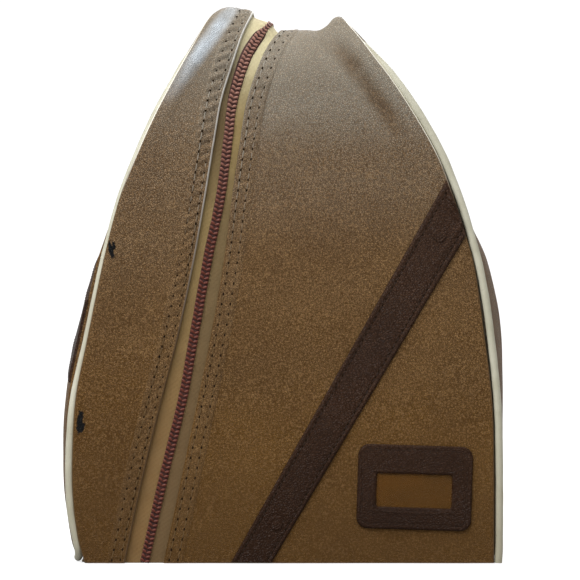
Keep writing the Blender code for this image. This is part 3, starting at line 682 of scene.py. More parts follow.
def painted_highlight_mask(tree, place):
    """Up to 1 on the roll beside the lid's upper left edge, where a bluish-white highlight is
    painted.
    """
    slant = maths(tree, "ADD", axis_of(tree, place, 0),
                  times(tree, axis_of(tree, place, 2), -0.697))
    off = maths(tree, "ABSOLUTE", maths(tree, "ADD", slant, 0.2733))
    height = axis_of(tree, place, 2)
    upper = times(tree, spread(tree, height, 0.280, 0.325),
                  spread(tree, height, 0.348, 0.332, 0.45, 1.0))
    ragged = spread(tree, noise(tree, place, 70.0, 4.0), 0.3, 0.65, 0.50, 0.88)
    band = times(tree, spread(tree, off, 0.0085, 0.0010), upper)
    return times(tree, band, ragged)


# Share of painted grey sheen by height in metres, for each vinyl: a painted reflection of the
# overhead light on the upper faces.
BODY_PAINTED_SHEEN = [(0.0, 0.0), (0.08, 0.0), (0.13, 0.035), (0.183, 0.07), (0.245, 0.29), (0.292, 0.70),
             (0.32, 0.72)]
LID_PAINTED_SHEEN = [(0.0, 0.0), (0.10, 0.0), (0.15, 0.05), (0.202, 0.15), (0.245, 0.25), (0.283, 0.40),
            (0.315, 0.62)]
HEM_PAINTED_SHEEN = [(0.0, 0.01), (0.05, 0.03), (0.12, 0.065), (0.18, 0.11), (0.245, 0.26), (0.285, 0.48),
            (0.32, 0.66)]
TRIM_PAINTED_SHEEN = [(0.0, 0.0), (0.05, 0.0), (0.2, 0.03), (0.345, 0.06)]


def make_vinyl(name, base, dark, light, painted_sheen_colour, painted_sheen_levels, cell=1.05, scuffed_and_highlit=False, sheen=0.35,
               contrast=1.0):
    """Worn pebble-grain vinyl with painted light: painted shade makes it darker and browner below, a
    painted grey sheen lightens it above.
    """
    made, tree, shader, place = start_material(name, Specular_IOR_Level=0.11)
    grain = pebble(tree, place, cell * MM)
    fine = noise(tree, place, 1500.0, 2.0)
    blotch = noise(tree, place, 16.0, 5.0, 0.6)
    speck = noise(tree, place, 880.0, 3.0, 0.7)
    height = axis_of(tree, place, 2)
    colour = mix(tree, spread(tree, blotch, 0.35, 0.8, 0.0, 0.45), base, dark)
    # Painted shade: darker and browner towards the bottom, where less light falls; stronger on the
    # lid.
    low = spread(tree, height, 0.17, 0.0, 0.0, 0.60) if scuffed_and_highlit else (
        spread(tree, height, 0.10, 0.0, 0.0, 0.48))
    colour = mix(tree, low, colour, dark)
    # Painted sheen: the colour greys towards the top, a painted reflection of the overhead light.
    painted_sheen = ramp(tree, height, 0.35, painted_sheen_levels)
    painted_sheen = maths(tree, "MULTIPLY", painted_sheen, spread(tree, blotch, 0.75, 0.3, 0.85, 1.1), True)
    if not scuffed_and_highlit:
        # Painted shade in that crease: darker, and with less of the painted sheen.
        crease = painted_valley_shade(tree, place)
        painted_sheen = times(tree, painted_sheen, spread(tree, crease, 0, 1, 1.0, 0.30))
        colour = mix(tree, times(tree, crease, 0.75), colour, dark)
    colour = mix(tree, painted_sheen, colour, painted_sheen_colour)
    strong = times(tree, spread(tree, height, 0.33, 0.24, 0.55, contrast),
                   spread(tree, height, 0.0, 0.13, 0.45, 1.0))
    pits = times(tree, strong, spread(tree, grain, 0.0, 0.8, 0.95, 0.0))
    colour = mix(tree, pits, colour, mix(tree, 0.85, colour, dark))
    specks = times(tree, strong, spread(tree, speck, 0.46, 0.64, 0.0, 0.95))
    colour = mix(tree, specks, colour, mix(tree, 0.7, colour, light, "ADD"))
    if scuffed_and_highlit:
        # Painted highlight: bluish-white along the lid's upper left edge.
        colour = mix(tree, painted_highlight_mask(tree, place), colour, (0.60, 0.66, 0.72))
        for centre, size, tilt in SCUFFS:
            colour = mix(tree, patch(tree, place, centre, size, tilt), colour,
                         (0.004, 0.004, 0.004))
    tree.links.new(colour, shader.inputs["Base Color"])
    rough = maths(tree, "ADD", spread(tree, speck, 0.3, 0.8, -0.09, 0.09),
                  spread(tree, blotch, 0.3, 0.7, sheen, sheen + 0.12))
    tree.links.new(rough, shader.inputs["Roughness"])
    relief = maths(tree, "ADD", grain, times(tree, fine, 0.5))
    bump(tree, shader, relief, 0.00030)
    return made


def make_edge(name, low, high, pale, plain=(0.100, 0.055, 0.020)):
    """A vinyl edge, coil or thread that turns from plain to pale between two heights: the pale is
    painted light, a highlight on the edges and a sheen on the coil and thread.
    """
    made, tree, shader, place = start_material(name, Specular_IOR_Level=0.3)
    height = axis_of(tree, place, 2)
    patchy = noise(tree, place, 60.0, 4.0)
    # Painted light: paler towards the top, in patches.
    painted_light_share = times(tree, spread(tree, height, low, high),
                   spread(tree, patchy, 0.25, 0.5, 0.7, 1.0))
    colour = mix(tree, painted_light_share, plain, pale)
    tree.links.new(colour, shader.inputs["Base Color"])
    shader.inputs["Roughness"].default_value = 0.4
    bump(tree, shader, noise(tree, place, 900.0, 3.0), 0.0001)
    return made


def make_piping():
    """Smooth cream vinyl, yellowed and with dirt in places."""
    made, tree, shader, place = start_material("cream_piping_vinyl", Specular_IOR_Level=0.45)
    stain = noise(tree, place, 26.0, 5.0, 0.65)
    colour = mix(tree, spread(tree, stain, 0.35, 0.7), (0.56, 0.54, 0.43), (0.43, 0.405, 0.30))
    specks = noise(tree, place, 300.0, 4.0, 0.7)
    colour = mix(tree, spread(tree, specks, 0.6, 0.8, 0.0, 0.6), colour, (0.13, 0.11, 0.07))
    # Darker towards the bottom.
    low = spread(tree, axis_of(tree, place, 2), 0.12, 0.0, 0.0, 0.5)
    colour = mix(tree, low, colour, (0.24, 0.20, 0.12))
    tree.links.new(colour, shader.inputs["Base Color"])
    tree.links.new(spread(tree, stain, 0.3, 0.7, 0.32, 0.5), shader.inputs["Roughness"])
    bump(tree, shader, noise(tree, place, 700.0, 3.0), 0.00012)
    return made


def weave(tree, place, pitch, turn=0.0):
    """A plain weave's height, in a plane turned round the y axis."""
    node = add(tree, "ShaderNodeMapping", {"Rotation": (0, turn, 0)})
    tree.links.new(place, node.inputs[0])
    parts = add(tree, "ShaderNodeSeparateXYZ", {0: node.outputs[0]})
    waves = []
    for axis in (0, 2):
        angle = times(tree, parts.outputs[axis], 2 * pi / pitch)
        waves.append(maths(tree, "SINE", angle))
    return spread(tree, times(tree, *waves), -1.0, 1.0)


def make_cloth(name, first, second, pitch):
    """Woven cloth with slubs and stains."""
    made, tree, shader, place = start_material(name, Roughness=0.85, Sheen_Weight=0.15)
    threads = weave(tree, place, pitch)
    slub = noise(tree, place, 90.0, 4.0)
    colour = mix(tree, spread(tree, slub, 0.3, 0.7), first, second)
    colour = mix(tree, spread(tree, threads, 0.0, 0.7, 0.45, 0.0), colour,
                 tuple(0.45 * part for part in second))
    tree.links.new(colour, shader.inputs["Base Color"])
    bump(tree, shader, threads, 0.00025)
    return made


def make_tape(name, painted_shade_span):
    """Zip tape: golden twill, darker towards the bottom and paler at the top; the last argument
    places painted shade: the height where it starts, the height where it is full, and its share.
    """
    made, tree, shader, place = start_material(name, Roughness=0.8, Sheen_Weight=0.2)
    threads = weave(tree, place, 0.0011, radians(33))
    height = axis_of(tree, place, 2)
    slub = noise(tree, place, 60.0, 5.0, 0.65)
    colour = mix(tree, spread(tree, height, 0.05, 0.27), (0.235, 0.125, 0.032),
                 (0.33, 0.235, 0.085))
    colour = mix(tree, spread(tree, height, 0.27, 0.325), colour, (0.80, 0.72, 0.44))
    colour = mix(tree, spread(tree, slub, 0.45, 0.75, 0.0, 0.4), colour, (0.24, 0.15, 0.055))
    colour = mix(tree, spread(tree, threads, 0.0, 0.6, 0.35, 0.0), colour, (0.16, 0.10, 0.035))
    # Painted shade over a band of heights; it fades out near the top.
    painted_shade_share = spread(tree, height, painted_shade_span[0], painted_shade_span[1], 0.0, painted_shade_span[2])
    painted_shade_share = times(tree, painted_shade_share, spread(tree, height, 0.335, 0.30))
    colour = mix(tree, painted_shade_share, colour, (0.105, 0.062, 0.020))
    tree.links.new(colour, shader.inputs["Base Color"])
    bump(tree, shader, threads, 0.0003)
    return made


def make_plain(name, first, second, scale, rough, relief, **uniform):
    """A surface whose colour wanders between two, with fine relief."""
    made, tree, shader, place = start_material(name, **uniform)
    value = noise(tree, place, scale, 5.0, 0.6)
    tree.links.new(mix(tree, spread(tree, value, 0.35, 0.65), first, second),
                   shader.inputs["Base Color"])
    tree.links.new(spread(tree, value, 0.3, 0.7, *rough), shader.inputs["Roughness"])
    bump(tree, shader, noise(tree, place, scale * 8, 3.0), relief)
    return made


def make_film():
    """Yellowed clear film that shows the vinyl behind it."""
    made, tree, shader, place = start_material("yellowed_clear_film", Roughness=0.22,
                                               Alpha=0.40, Specular_IOR_Level=0.2)
    value = noise(tree, place, 60.0, 4.0)
    tree.links.new(mix(tree, spread(tree, value, 0.35, 0.7), (0.15, 0.062, 0.010),
                       (0.12, 0.055, 0.012)), shader.inputs["Base Color"])
    bump(tree, shader, noise(tree, place, 150.0, 3.0), 0.0002)
    return made


def make_materials():
    """All the finishes."""
    # Base, dark and light colours, then the colour of the painted grey sheen.
    tan = ((0.158, 0.078, 0.0165), (0.052, 0.022, 0.004), (0.17, 0.105, 0.05),
           (0.385, 0.375, 0.32))
    brown = ((0.037, 0.0150, 0.0060), (0.010, 0.0037, 0.0016), (0.055, 0.030, 0.018),
             (0.20, 0.16, 0.13))
    return {
        "vinyl": make_vinyl("tan_pebble_vinyl", *tan, BODY_PAINTED_SHEEN),
        # The lid's vinyl carries real scuffs and a painted highlight.
        "lid_vinyl": make_vinyl("tan_pebble_vinyl_scuffed", *tan, LID_PAINTED_SHEEN, scuffed_and_highlit=True,
                                sheen=0.30),
        "hem_vinyl": make_vinyl("tan_pebble_vinyl_hem", *tan, HEM_PAINTED_SHEEN),
        "lid_hem_vinyl": make_vinyl("tan_pebble_vinyl_lid_hem", *tan, HEM_PAINTED_SHEEN, scuffed_and_highlit=True,
                                    sheen=0.30),
        "trim": make_vinyl("brown_grained_vinyl", *brown, TRIM_PAINTED_SHEEN, cell=1.5, sheen=0.27,
                           contrast=0.7),
        # Painted highlights on the wrap's rolled seam edge and on the lid's hem roll.
        "edge": make_edge("vinyl_edge_painted_highlight", 0.225, 0.27, (0.80, 0.76, 0.66)),
        "hem_edge": make_edge("hem_edge_painted_highlight", 0.12, 0.33, (0.66, 0.64, 0.59)),
        "piping": make_piping(),
        # Each tape carries painted shade: the body's tape below, the lid's tape higher up.
        "tape": make_tape("gold_twill_tape", (0.27, 0.20, 0.62)),
        "lid_tape": make_tape("gold_twill_tape_lid", (0.20, 0.27, 0.75)),
        # The coil pales towards the top: painted sheen.
        "coil": make_edge("russet_nylon_coil", 0.19, 0.33, (0.30, 0.15, 0.11),
                          (0.120, 0.028, 0.015)),
        "coil_bed": make_plain("russet_coil_bed", (0.060, 0.012, 0.007), (0.030, 0.006, 0.004),
                               200.0, (0.6, 0.8), 0.00008),
        "board": make_plain("grey_fibre_board", (0.25, 0.22, 0.17), (0.16, 0.14, 0.11), 120.0,
                            (0.8, 0.95), 0.0002),
        "lining": make_cloth("beige_cotton_lining", (0.42, 0.34, 0.23), (0.33, 0.26, 0.17),
                             0.0014),
        "backing": make_cloth("tan_cotton_backing", (0.36, 0.28, 0.18), (0.26, 0.20, 0.12),
                              0.0012),
        # The thread pales towards the top: painted sheen.
        "thread": make_edge("tan_thread", 0.16, 0.31, (0.33, 0.30, 0.25), (0.125, 0.070, 0.024)),
        "dark_thread": make_plain("brown_thread", (0.040, 0.022, 0.014), (0.022, 0.012, 0.008),
                                  300.0, (0.45, 0.6), 0.0001, Specular_IOR_Level=0.12),
        # Dark lenses that stand for the needle holes: painted shade in the holes.
        "hole": make_plain("needle_hole_painted_shade", (0.018, 0.009, 0.004), (0.010, 0.006, 0.003), 300.0,
                           (0.7, 0.9), 0.0001, Specular_IOR_Level=0.05),
        "brass": make_plain("aged_brass", (0.50, 0.36, 0.15), (0.24, 0.16, 0.07), 220.0,
                            (0.28, 0.5), 0.00008, Metallic=1.0),
        "film": make_film(),
    }


finishes = make_materials()


def stand_in(piece, body, slot, *nodes):
    """A piece rides on a body and may replace CAD nodes; the slot is not used."""
    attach(piece, body)
    if nodes:
        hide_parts(*nodes)
    return piece


# ---- The wrap ----

def fold_and_sign(is_body):
    """The fold across the wrap where a half begins, and the way from there to its seam."""
    return (AT_RIGHT_FOLD, 1) if is_body else (AT_LEFT_FOLD, -1)


def path_rows():
    """Rows of the wrap, evenly spaced along its length."""
    wanted = np.arange(0, ARC_LENGTHS[-1], 1.3)
    return np.append(np.interp(wanted, ARC_LENGTHS, ARC_PLACES), ALL_ROWS)


def wrap_panel(name, is_body, finish):
    """One half of the wrap: hemmed along the zip, turned in along the seam, closed all round.

    Its materials are the field, the backing, the seam's edge, the hem's edge and the hem.
    """
    rows = path_rows()[:, None]
    fold, seam = panel_edges(rows, np.full(rows.shape, is_body))
    width = abs(seam - fold)
    curl = VINYL / 2
    top = [(curl + step, 0.0) for step in np.arange(0.0, HEM_WIDTH + 1, 0.7)]
    first_field = top[-1][0]
    field = np.linspace(0, 1, 54 if is_body else 26)[1:]
    distances = [np.full_like(width, distance) for distance, _ in top]
    distances += [first_field + (width - SEAM_TURN - first_field) * share for share in field]
    distances += [width - SEAM_TURN * (1 - sin(angle))
                  for angle in np.linspace(0, pi / 2, 7)[1:]]
    start, sign = fold_and_sign(is_body)
    outer = [start + sign * distance / width for distance in distances]
    parts = [on_face(rows, place) for place in outer]
    slots = [4 if distance < HEM_WIDTH else 0 for distance, _ in top]
    slots += [0] * (len(parts) - len(slots))
    # The seam's rolled edge takes the finish with the painted highlight.
    slots[-4:] = [2, 2, 2, 2]
    lip_depth = 2.7
    for back in (0.0, 1.4):
        place = start + sign * (width - back) / width
        parts.append(surface(rows, place) + inward(rows, place) * lip_depth)
        slots.append(0)
    for share in np.linspace(1, 0, 26):
        reach = curl + (width - 1.5 - curl) * share
        place = start + sign * reach / width
        parts.append(on_face(rows, place, VINYL + 0.3))
        slots.append(1)
    slots[-2:] = [0, 0]
    edge_place = start + 0 * width
    hem_lift = face_lift(rows, start + sign * curl / width)[..., None]
    away = unit(surface(rows, start + sign * 0.02) - surface(rows, edge_place))
    into = inward(rows, edge_place)
    fold_line = surface(rows, edge_place)
    half = (VINYL + hem_lift) / 2
    for angle in np.linspace(-pi / 2, pi / 2, 9)[1:-1]:
        reach = curl * (1 - cos(angle))
        depth = VINYL - half - half * sin(angle)
        parts.append(fold_line + away * reach + into * depth)
        # On the lid the outer half of the hem roll takes the finish with the painted highlight.
        slots.append(0 if is_body or angle < 0 else 3)
    rings = np.concatenate(parts, axis=1)
    return ring_mesh(name, rings, [finish, finishes["backing"], finishes["edge"],
                                   finishes["hem_edge"],
                                   finishes["hem_vinyl" if is_body else "lid_hem_vinyl"]], slots)


def spaced_on_line(path_of, spacing, low=0.0, high=ALL_ROWS, inset=2.0):
    """Path places evenly spaced along a line of the wrap, given its places across."""
    places = np.linspace(low, high, 3000)
    points = surface(places, path_of(places))
    steps = np.linalg.norm(np.diff(points, axis=0), axis=1)
    lengths = np.concatenate([[0], np.cumsum(steps)])
    return np.interp(np.arange(inset, lengths[-1] - inset, spacing), lengths, places)


def frames_on_line(points, out):
    """Axes along a line, across it and out of the face, for scattering."""
    along = line_frames(points)
    side = unit(np.cross(out, along))
    return along, side, unit(np.cross(along, side))


def axes(along, side, out, sizes):
    """Scatter axes with sizes along each."""
    return np.stack([along * sizes[0], side * sizes[1], out * sizes[2]], axis=1)


def stitch_shapes(points, out, stitch, thread, with_holes=True):
    """Thread stitches and needle holes between evenly spaced points."""
    along, side, up = frames_on_line(points, out)
    middle = (points[:-1] + points[1:]) / 2
    lengths = unit(points[1:] - points[:-1])
    ball, faces = blob(8, 6)
    bowed = ball.copy()
    bowed[:, 2] -= 1.1 * np.abs(ball[:, 0]) ** 3
    body = axes(lengths, side[:-1], up[:-1], (0.40 * stitch, thread, thread * 0.8))
    shapes = [(bowed, faces, middle + up[:-1] * thread * 0.45, body, 0)]
    if with_holes:
        # Each needle hole is a dark lens on the face: painted shade.
        lens, lens_faces = blob(4, 8)
        shapes.append((lens, lens_faces, points + up * 0.05,
                       axes(along, side, up, (0.95, 0.62, 0.16)), 1))
    return shapes


def sewn(line, out, stitch, thread, with_holes=True):
    """Stitches along a line on a face that points one way."""
    return stitch_shapes(line, unit(np.tile(out, (len(line), 1))), stitch, thread, with_holes)


def hem_stitches(name, is_body):
    """The two rows of stitches along the hem."""
    shapes = []
    start, sign = fold_and_sign(is_body)

    for distance in STITCH_ROWS:
        def across_of(places):
            fold, seam = panel_edges(places, np.full(places.shape, is_body))
            return start + sign * distance / abs(seam - fold)

        places = spaced_on_line(across_of, STITCH)
        across = across_of(places)
        points = on_face(places, across)
        shapes += stitch_shapes(points, -inward(places, across), STITCH, 0.36)
    return scatter(name, shapes, [finishes["thread"], finishes["hole"]])


def tape_dome(rows, offset):
    """How far the tape swells up between the folds where it goes over the top."""
    from_base = np.minimum(rows, ALL_ROWS - rows)
    at_top = step_between(from_base, 13.2, 15.6)
    return TAPE_DOME * at_top * bell(offset, 5.5)


def zip_tape(name, side):
    """Half of the zip's tape."""
    rows = spaced_on_line(lambda places: AT_CHAIN + 0 * places, 3.0, inset=0.0)
    rows = np.append(rows, ALL_ROWS)[:, None]
    gap = abs(surface(rows, AT_CHAIN + side)[..., 0] - surface(rows, AT_CHAIN)[..., 0])
    reach = gap + TAPE_TUCK
    share = np.linspace(0, 1, 16)[None, :]
    offsets = side * (CHAIN_GAP + (reach - CHAIN_GAP) * share)
    across = beside_chain(rows, offsets)
    ripple = 0.12 * np.sin(rows * 5.1 + 3 * share) + 0.10 * np.sin(rows * 11.3)
    point, into = surface(rows, across), inward(rows, across)
    depth = TAPE_DEPTH + ripple - tape_dome(rows, abs(offsets))
    outer = point + into * depth[..., None]
    inner = point + into * (depth + TAPE)[..., None]
    return slab(name, outer, inner, [finishes["tape" if side > 0 else "lid_tape"]])


def path_at_height(height):
    """The place along the back of the chain at a height."""
    shoulder = float(smooth_curve(CREST, AT_CHAIN)) - SHOULDER_RISE
    return ALL_ROWS - STRAIGHT_ROWS * (height - LOW_EDGE) / (shoulder - LOW_EDGE)


def coil_bed(name, side):
    """The dark woven strip that one half of the coil is sewn to."""
    rows = spaced_on_line(lambda places: AT_CHAIN + 0 * places, 1.5, 0.0,
                          path_at_height(CHAIN_END), 0.6)[:, None]
    share = np.linspace(0, 1, 5)[None, :]
    from_base = np.minimum(rows, ALL_ROWS - rows)
    narrow = 1 - 0.55 * step_between(from_base, 13.4, 14.6)
    offsets = side * (0.02 + (2.75 * narrow - 0.02) * share)
    across = beside_chain(rows, offsets)
    point, into = surface(rows, across), inward(rows, across)
    low = TAPE_DEPTH - tape_dome(rows, abs(offsets))
    thick = 0.55 * (1 - 0.75 * share ** 4)
    outer = point + into * (low - thick)[..., None]
    inner = point + into * (low + 0.25)[..., None]
    return slab(name, outer, inner, [finishes["coil_bed"]])


def zip_coil(name, side):
    """Half of the coil: slanting knuckles that lie between those of the other half."""
    places = spaced_on_line(lambda p: AT_CHAIN + 0 * p, COIL_PITCH, 0.0,
                            path_at_height(CHAIN_END), 1.2 if side > 0 else 1.5)
    middle = surface(places, AT_CHAIN + 0 * places)
    out = -inward(places, AT_CHAIN + 0 * places)
    along, over, up = frames_on_line(middle, out)
    flip = np.sign(over[:, :1])
    over = over * flip
    tilt = KNUCKLE_TILTS[side]
    long_axis = over * side * cos(tilt) + along * sin(tilt) * side
    short_axis = unit(np.cross(up, long_axis))
    from_base = np.minimum(places, ALL_ROWS - places)
    sunk = step_between(from_base, 13.2, 14.6)[:, None]
    ball, faces = blob(8, 8, 0.30)
    ball[:, 0] *= -1
    faces = [face[::-1] for face in faces]
    rise = tape_dome(places, 0 * places)[:, None]
    origins = middle + over * side * (1.38 - 0.5 * sunk) + up * (rise * 0.9 - 1.75 - 0.35 * sunk)
    sizes = (1.75 * (1 - 0.35 * sunk), 0.98 * (1 - 0.2 * sunk), 0.85 * (1 - 0.55 * sunk))
    knuckle = np.stack([long_axis * sizes[0], short_axis * sizes[1], up * sizes[2]], axis=1)
    heel, heel_faces = blob(6, 8)
    heels = middle + over * side * (2.35 - 1.0 * sunk) + up * (rise * 0.8 - 2.1)
    heel_sizes = (0.95 * (1 - 0.3 * sunk), 0.45 * (1 - 0.4 * sunk), 0.55 * (1 - 0.5 * sunk))
    heel_axes = np.stack([along * heel_sizes[0], over * heel_sizes[1], up * heel_sizes[2]],
                         axis=1)
    return scatter(name, [(ball, faces, origins, knuckle, 0),
                          (heel, heel_faces, heels, heel_axes, 0)], [finishes["coil"]])


def build_wrap():
    """Both halves of the wrap with their sewing, tapes and coils."""
    for word, is_body, side in (("body", True, 1), ("lid", False, -1)):
        finish = finishes["vinyl" if is_body else "lid_vinyl"]
        cad_name = "body_wrap_panel" if is_body else "lid_wrap_strip"
        panel = wrap_panel(word + "_wrap_vinyl", is_body, finish)
        stand_in(panel, word, "tan_vinyl", cad_name)
        stand_in(hem_stitches(word + "_zip_stitches", is_body), word, "tan_vinyl")
        stand_in(zip_tape(word + "_tape", side), word, "gold_tape", word + "_zip_tape")
        stand_in(zip_coil(word + "_coil", side), word, "russet_coil", word + "_zip_chain")
        stand_in(coil_bed(word + "_coil_bed", side), word, "russet_coil")


# ---- Sides, piping and base ----

def side_outline(edge, low, inset, top_inset):
    """Height and half width of the rows of a side, up to its rounded top corners."""
    crest = float(smooth_curve(CREST, edge))
    shoulder = crest - SHOULDER_RISE
    heights, widths = [], []
    if edge == AT_LEFT_SEAM:
        angle = np.linspace(0, pi / 2, 8)[:-1]
        heights.append(low + LOWER_CORNER * (1 - np.cos(angle)))
        widths.append(half_depth(heights[0]) - inset - LOWER_CORNER * (1 - np.sin(angle)))
        low = low + LOWER_CORNER
    heights.append(np.linspace(low, shoulder, 96))
    widths.append(half_depth(heights[-1]) - inset)
    angle = np.linspace(0, pi / 2, 20)[1:]
    reach = half_depth(shoulder) - CREST_HALF_DEPTH - inset
    heights.append(shoulder + (SHOULDER_RISE - top_inset) * np.sin(angle))
    widths.append(CREST_HALF_DEPTH + reach * np.cos(angle))
    return np.concatenate(heights)[:, None], np.concatenate(widths)[:, None]


def side_layer(name, edge, low, inset, out, thickness, materials, flat=False):
    """One layer of a side; the outer layer swells, and its border turns in."""
    height, half_width = side_outline(edge, low, inset, inset if flat else TOP_INSET)
    across = np.sin(np.linspace(-pi / 2, pi / 2, 61))[None, :]
    seam, outward = side_curve(edge, height)
    y = across * half_width

    def layer(depth):
        if flat:
            ripple = 0.25 * np.sin(0.09 * y + 0.05 * height) * np.sin(0.06 * height)
            shifted = out - depth + ripple + border_shift(edge, height)
            beyond = outward * shifted[..., None]
            return seam + beyond + np.stack([0 * y, y, 0 * y], axis=-1)
        grid = side_point(edge, height + 0 * y, y, out - depth)
        tuck = np.stack([0 * y, np.sign(y) * 0.5, 0 * y], axis=-1) - outward * 1.8
        border = np.zeros(y.shape, bool)
        border[:, 0] = border[:, -1] = border[-1] = True
        return np.where(border[..., None], grid + tuck, grid)

    return slab(name, layer(0.0), layer(thickness), materials)


def seam_frame(path, edge):
    """Seam points, and the unit vectors out of the side and into the bag."""
    step = 0.05
    tangent = unit(surface(np.minimum(path + step, ALL_ROWS), edge)
                   - surface(np.maximum(path - step, 0), edge))
    into = inward(path, edge + 0 * path)
    outward = unit(np.cross(tangent, into))
    wanted = 1 if edge == AT_RIGHT_SEAM else -1
    return surface(path, edge), outward * np.sign(outward[..., :1]) * wanted, into


def piping_line(edge, low, high):
    """The middle line of the piping along a seam."""
    path = np.linspace(low, high, 700)
    seam, outward, into = seam_frame(path, edge)
    shows = RIGHT_SHOWS if edge == AT_RIGHT_SEAM else LEFT_SHOWS
    out = (smooth_curve(shows, seam[..., 2]) - PIPING_RADIUS)[..., None]
    depth = 2.6 + 2.4 * (1 - step_between(out, 0.6, 2.2))
    return seam + outward * out + into * depth


def left_piping_line():
    """The left piping's closed line: up the front, over, down the back and along the base."""
    upper = piping_line(AT_LEFT_SEAM, 1, ALL_ROWS - 1)
    steps = 14
    out = LEFT_SHOWS[0][1] - PIPING_RADIUS
    ends = []
    for above, inside in ((upper[0], 1), (upper[-1], -1)):
        foot_y = above[1] + inside * LOWER_CORNER
        start_height = HINGE_Z + LOWER_CORNER
        start_x = float(smooth_curve(LEFT_SEAM, start_height)) - out
        corner = [(start_x, above[1], start_height)]
        for step in range(1, steps + 1):
            angle = pi / 2 * step / steps
            height = HINGE_Z + LOWER_CORNER * (1 - sin(angle))
            seam_x = float(smooth_curve(LEFT_SEAM, height)) - out
            ease = sin(angle) ** 2
            corner.append((seam_x * (1 - ease) + HINGE_X * ease,
                           foot_y - inside * LOWER_CORNER * cos(angle), height))
        ends.append(np.array(corner))
    return np.concatenate([ends[0][::-1], upper, ends[1]])


def side_band():
    """The brown band that crosses the left side on the slant, with its stitches."""
    middle, slope, half_width, lift = 137.0, 0.42, 26.0, 1.5
    depth = half_depth(middle) - SIDE_INSET - 0.3
    y = (depth * np.sin(np.linspace(-pi / 2, pi / 2, 61)))[None, :]
    step = np.linspace(-1, 1, 41)[:, None]
    height = middle + slope * (y + depth) + half_width * step
    crown = 1.3 * quarter_round((1 - abs(step)) * half_width / 1.2 + 0 * y)
    groove = 0.25 * bell((1 - abs(step)) * half_width - SIDE_BAND_ROW, 0.8)
    outer = side_point(AT_LEFT_SEAM, height, y, SIDE_OUT + lift - 1.0 + crown - groove)
    inner = side_point(AT_LEFT_SEAM, height, y, SIDE_OUT + 0.15 + 0 * height)
    band = slab("left_side_band_vinyl", outer, inner, [finishes["trim"]])
    shapes = []
    for offset in (-half_width + SIDE_BAND_ROW, half_width - SIDE_BAND_ROW):
        run = np.linspace(-depth + 3, depth - 3, 400)
        run_height = middle + slope * (run + depth) + offset
        line = side_point(AT_LEFT_SEAM, run_height, run, SIDE_OUT + lift + 0.1 + 0 * run)
        line = resample(line, SIDE_BAND_STITCH)
        shapes += sewn(line, (-1.0, 0.0, 0.1), SIDE_BAND_STITCH, 0.34, with_holes=False)
    return band, scatter("left_side_band_stitches", shapes, [finishes["dark_thread"]])


def build_sides():
    """Both sides with their linings, bands and piping."""
    base_top = VINYL + GAP + LOW_EDGE
    for word, edge, low, body in (("left", AT_LEFT_SEAM, 7.8, "lid"),
                                  ("right", AT_RIGHT_SEAM, LOW_EDGE, "body")):
        panel = side_layer(word + "_side_vinyl", edge, low, SIDE_INSET, SIDE_OUT, 1.5,
                           [finishes["vinyl"], finishes["backing"]])
        stand_in(panel, body, "tan_vinyl", word + "_side_panel")
        inset = 1.5
        lining = side_layer(word + "_side_cotton", edge, max(low, base_top) + inset,
                            SIDE_INSET + inset, SIDE_OUT - VINYL - BOARD - 2 * GAP, LINING,
                            [finishes["lining"]], flat=True)
        stand_in(lining, body, "beige_lining", word + "_side_lining")
        board = side_layer(word + "_side_board_sheet", edge, max(low, base_top) + inset,
                           SIDE_INSET + inset, SIDE_OUT - VINYL - GAP, BOARD,
                           [finishes["board"]], flat=True)
        stand_in(board, body, "grey_board", word + "_side_board")
    band, stitches = side_band()
    stand_in(band, "lid", "brown_vinyl", "left_side_band")
    stand_in(stitches, "lid", "brown_vinyl")
    right = piping_line(AT_RIGHT_SEAM, 0, ALL_ROWS)
    cord = tube("right_piping_cord", resample(right, 2.2), PIPING_RADIUS, finishes["piping"],
                wobble=0.03)
    stand_in(cord, "body", "cream_piping", "right_piping")
    left = resample(left_piping_line(), 2.2, closed=True)
    cord = tube("left_piping_cord", left, PIPING_RADIUS, finishes["piping"], closed=True,
                wobble=0.03)
    stand_in(cord, "lid", "cream_piping", "left_piping")


def build_base():
    """The base: a vinyl panel with rounded edges, a little hollow in the middle."""
    low, high = (np.array(corner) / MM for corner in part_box("base_panel"))
    count = 70
    share = np.linspace(-1, 1, count)
    across, along = np.meshgrid(share, share, indexing="ij")
    x = (low[0] + high[0]) / 2 + across * (high[0] - low[0]) / 2
    y = (low[1] + high[1]) / 2 + along * (high[1] - low[1]) / 2
    from_edge = np.minimum((1 - abs(across)) * (high[0] - low[0]),
                           (1 - abs(along)) * (high[1] - low[1])) / 2
    round_over = 0.7 * (1 - np.sqrt(1 - np.clip(1 - from_edge / 2.0, 0, 1) ** 2))
    hollow = 0.35 * (1 - across ** 2) * (1 - along ** 2) * (1 + 0.4 * np.sin(9 * across))
    under = np.stack([x, y, low[2] + round_over + hollow], axis=-1)
    above = np.stack([x, y, high[2] - round_over * 0.5], axis=-1)
    panel = slab("base_vinyl", under, above, [finishes["vinyl"], finishes["backing"]])
    stand_in(panel, "body", "tan_vinyl", "base_panel")
    (left, front), (right, back) = low[:2] + BASE_ROW, high[:2] - BASE_ROW
    corners = [(x, y, low[2]) for x, y in ((left, front), (right, front), (right, back),
                                           (left, back))]
    line = resample(corners, BASE_STITCH, closed=True) + [0, 0, 0.75]
    stitches = scatter("base_stitches",
                       sewn(line, (0.0, 0.0, -1.0), BASE_STITCH, 0.3, with_holes=False),
                       [finishes["thread"]])
    stand_in(stitches, "body", "tan_vinyl")
    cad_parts["base_board"].data.materials[0] = finishes["board"]


# ---- Trim on the front ----

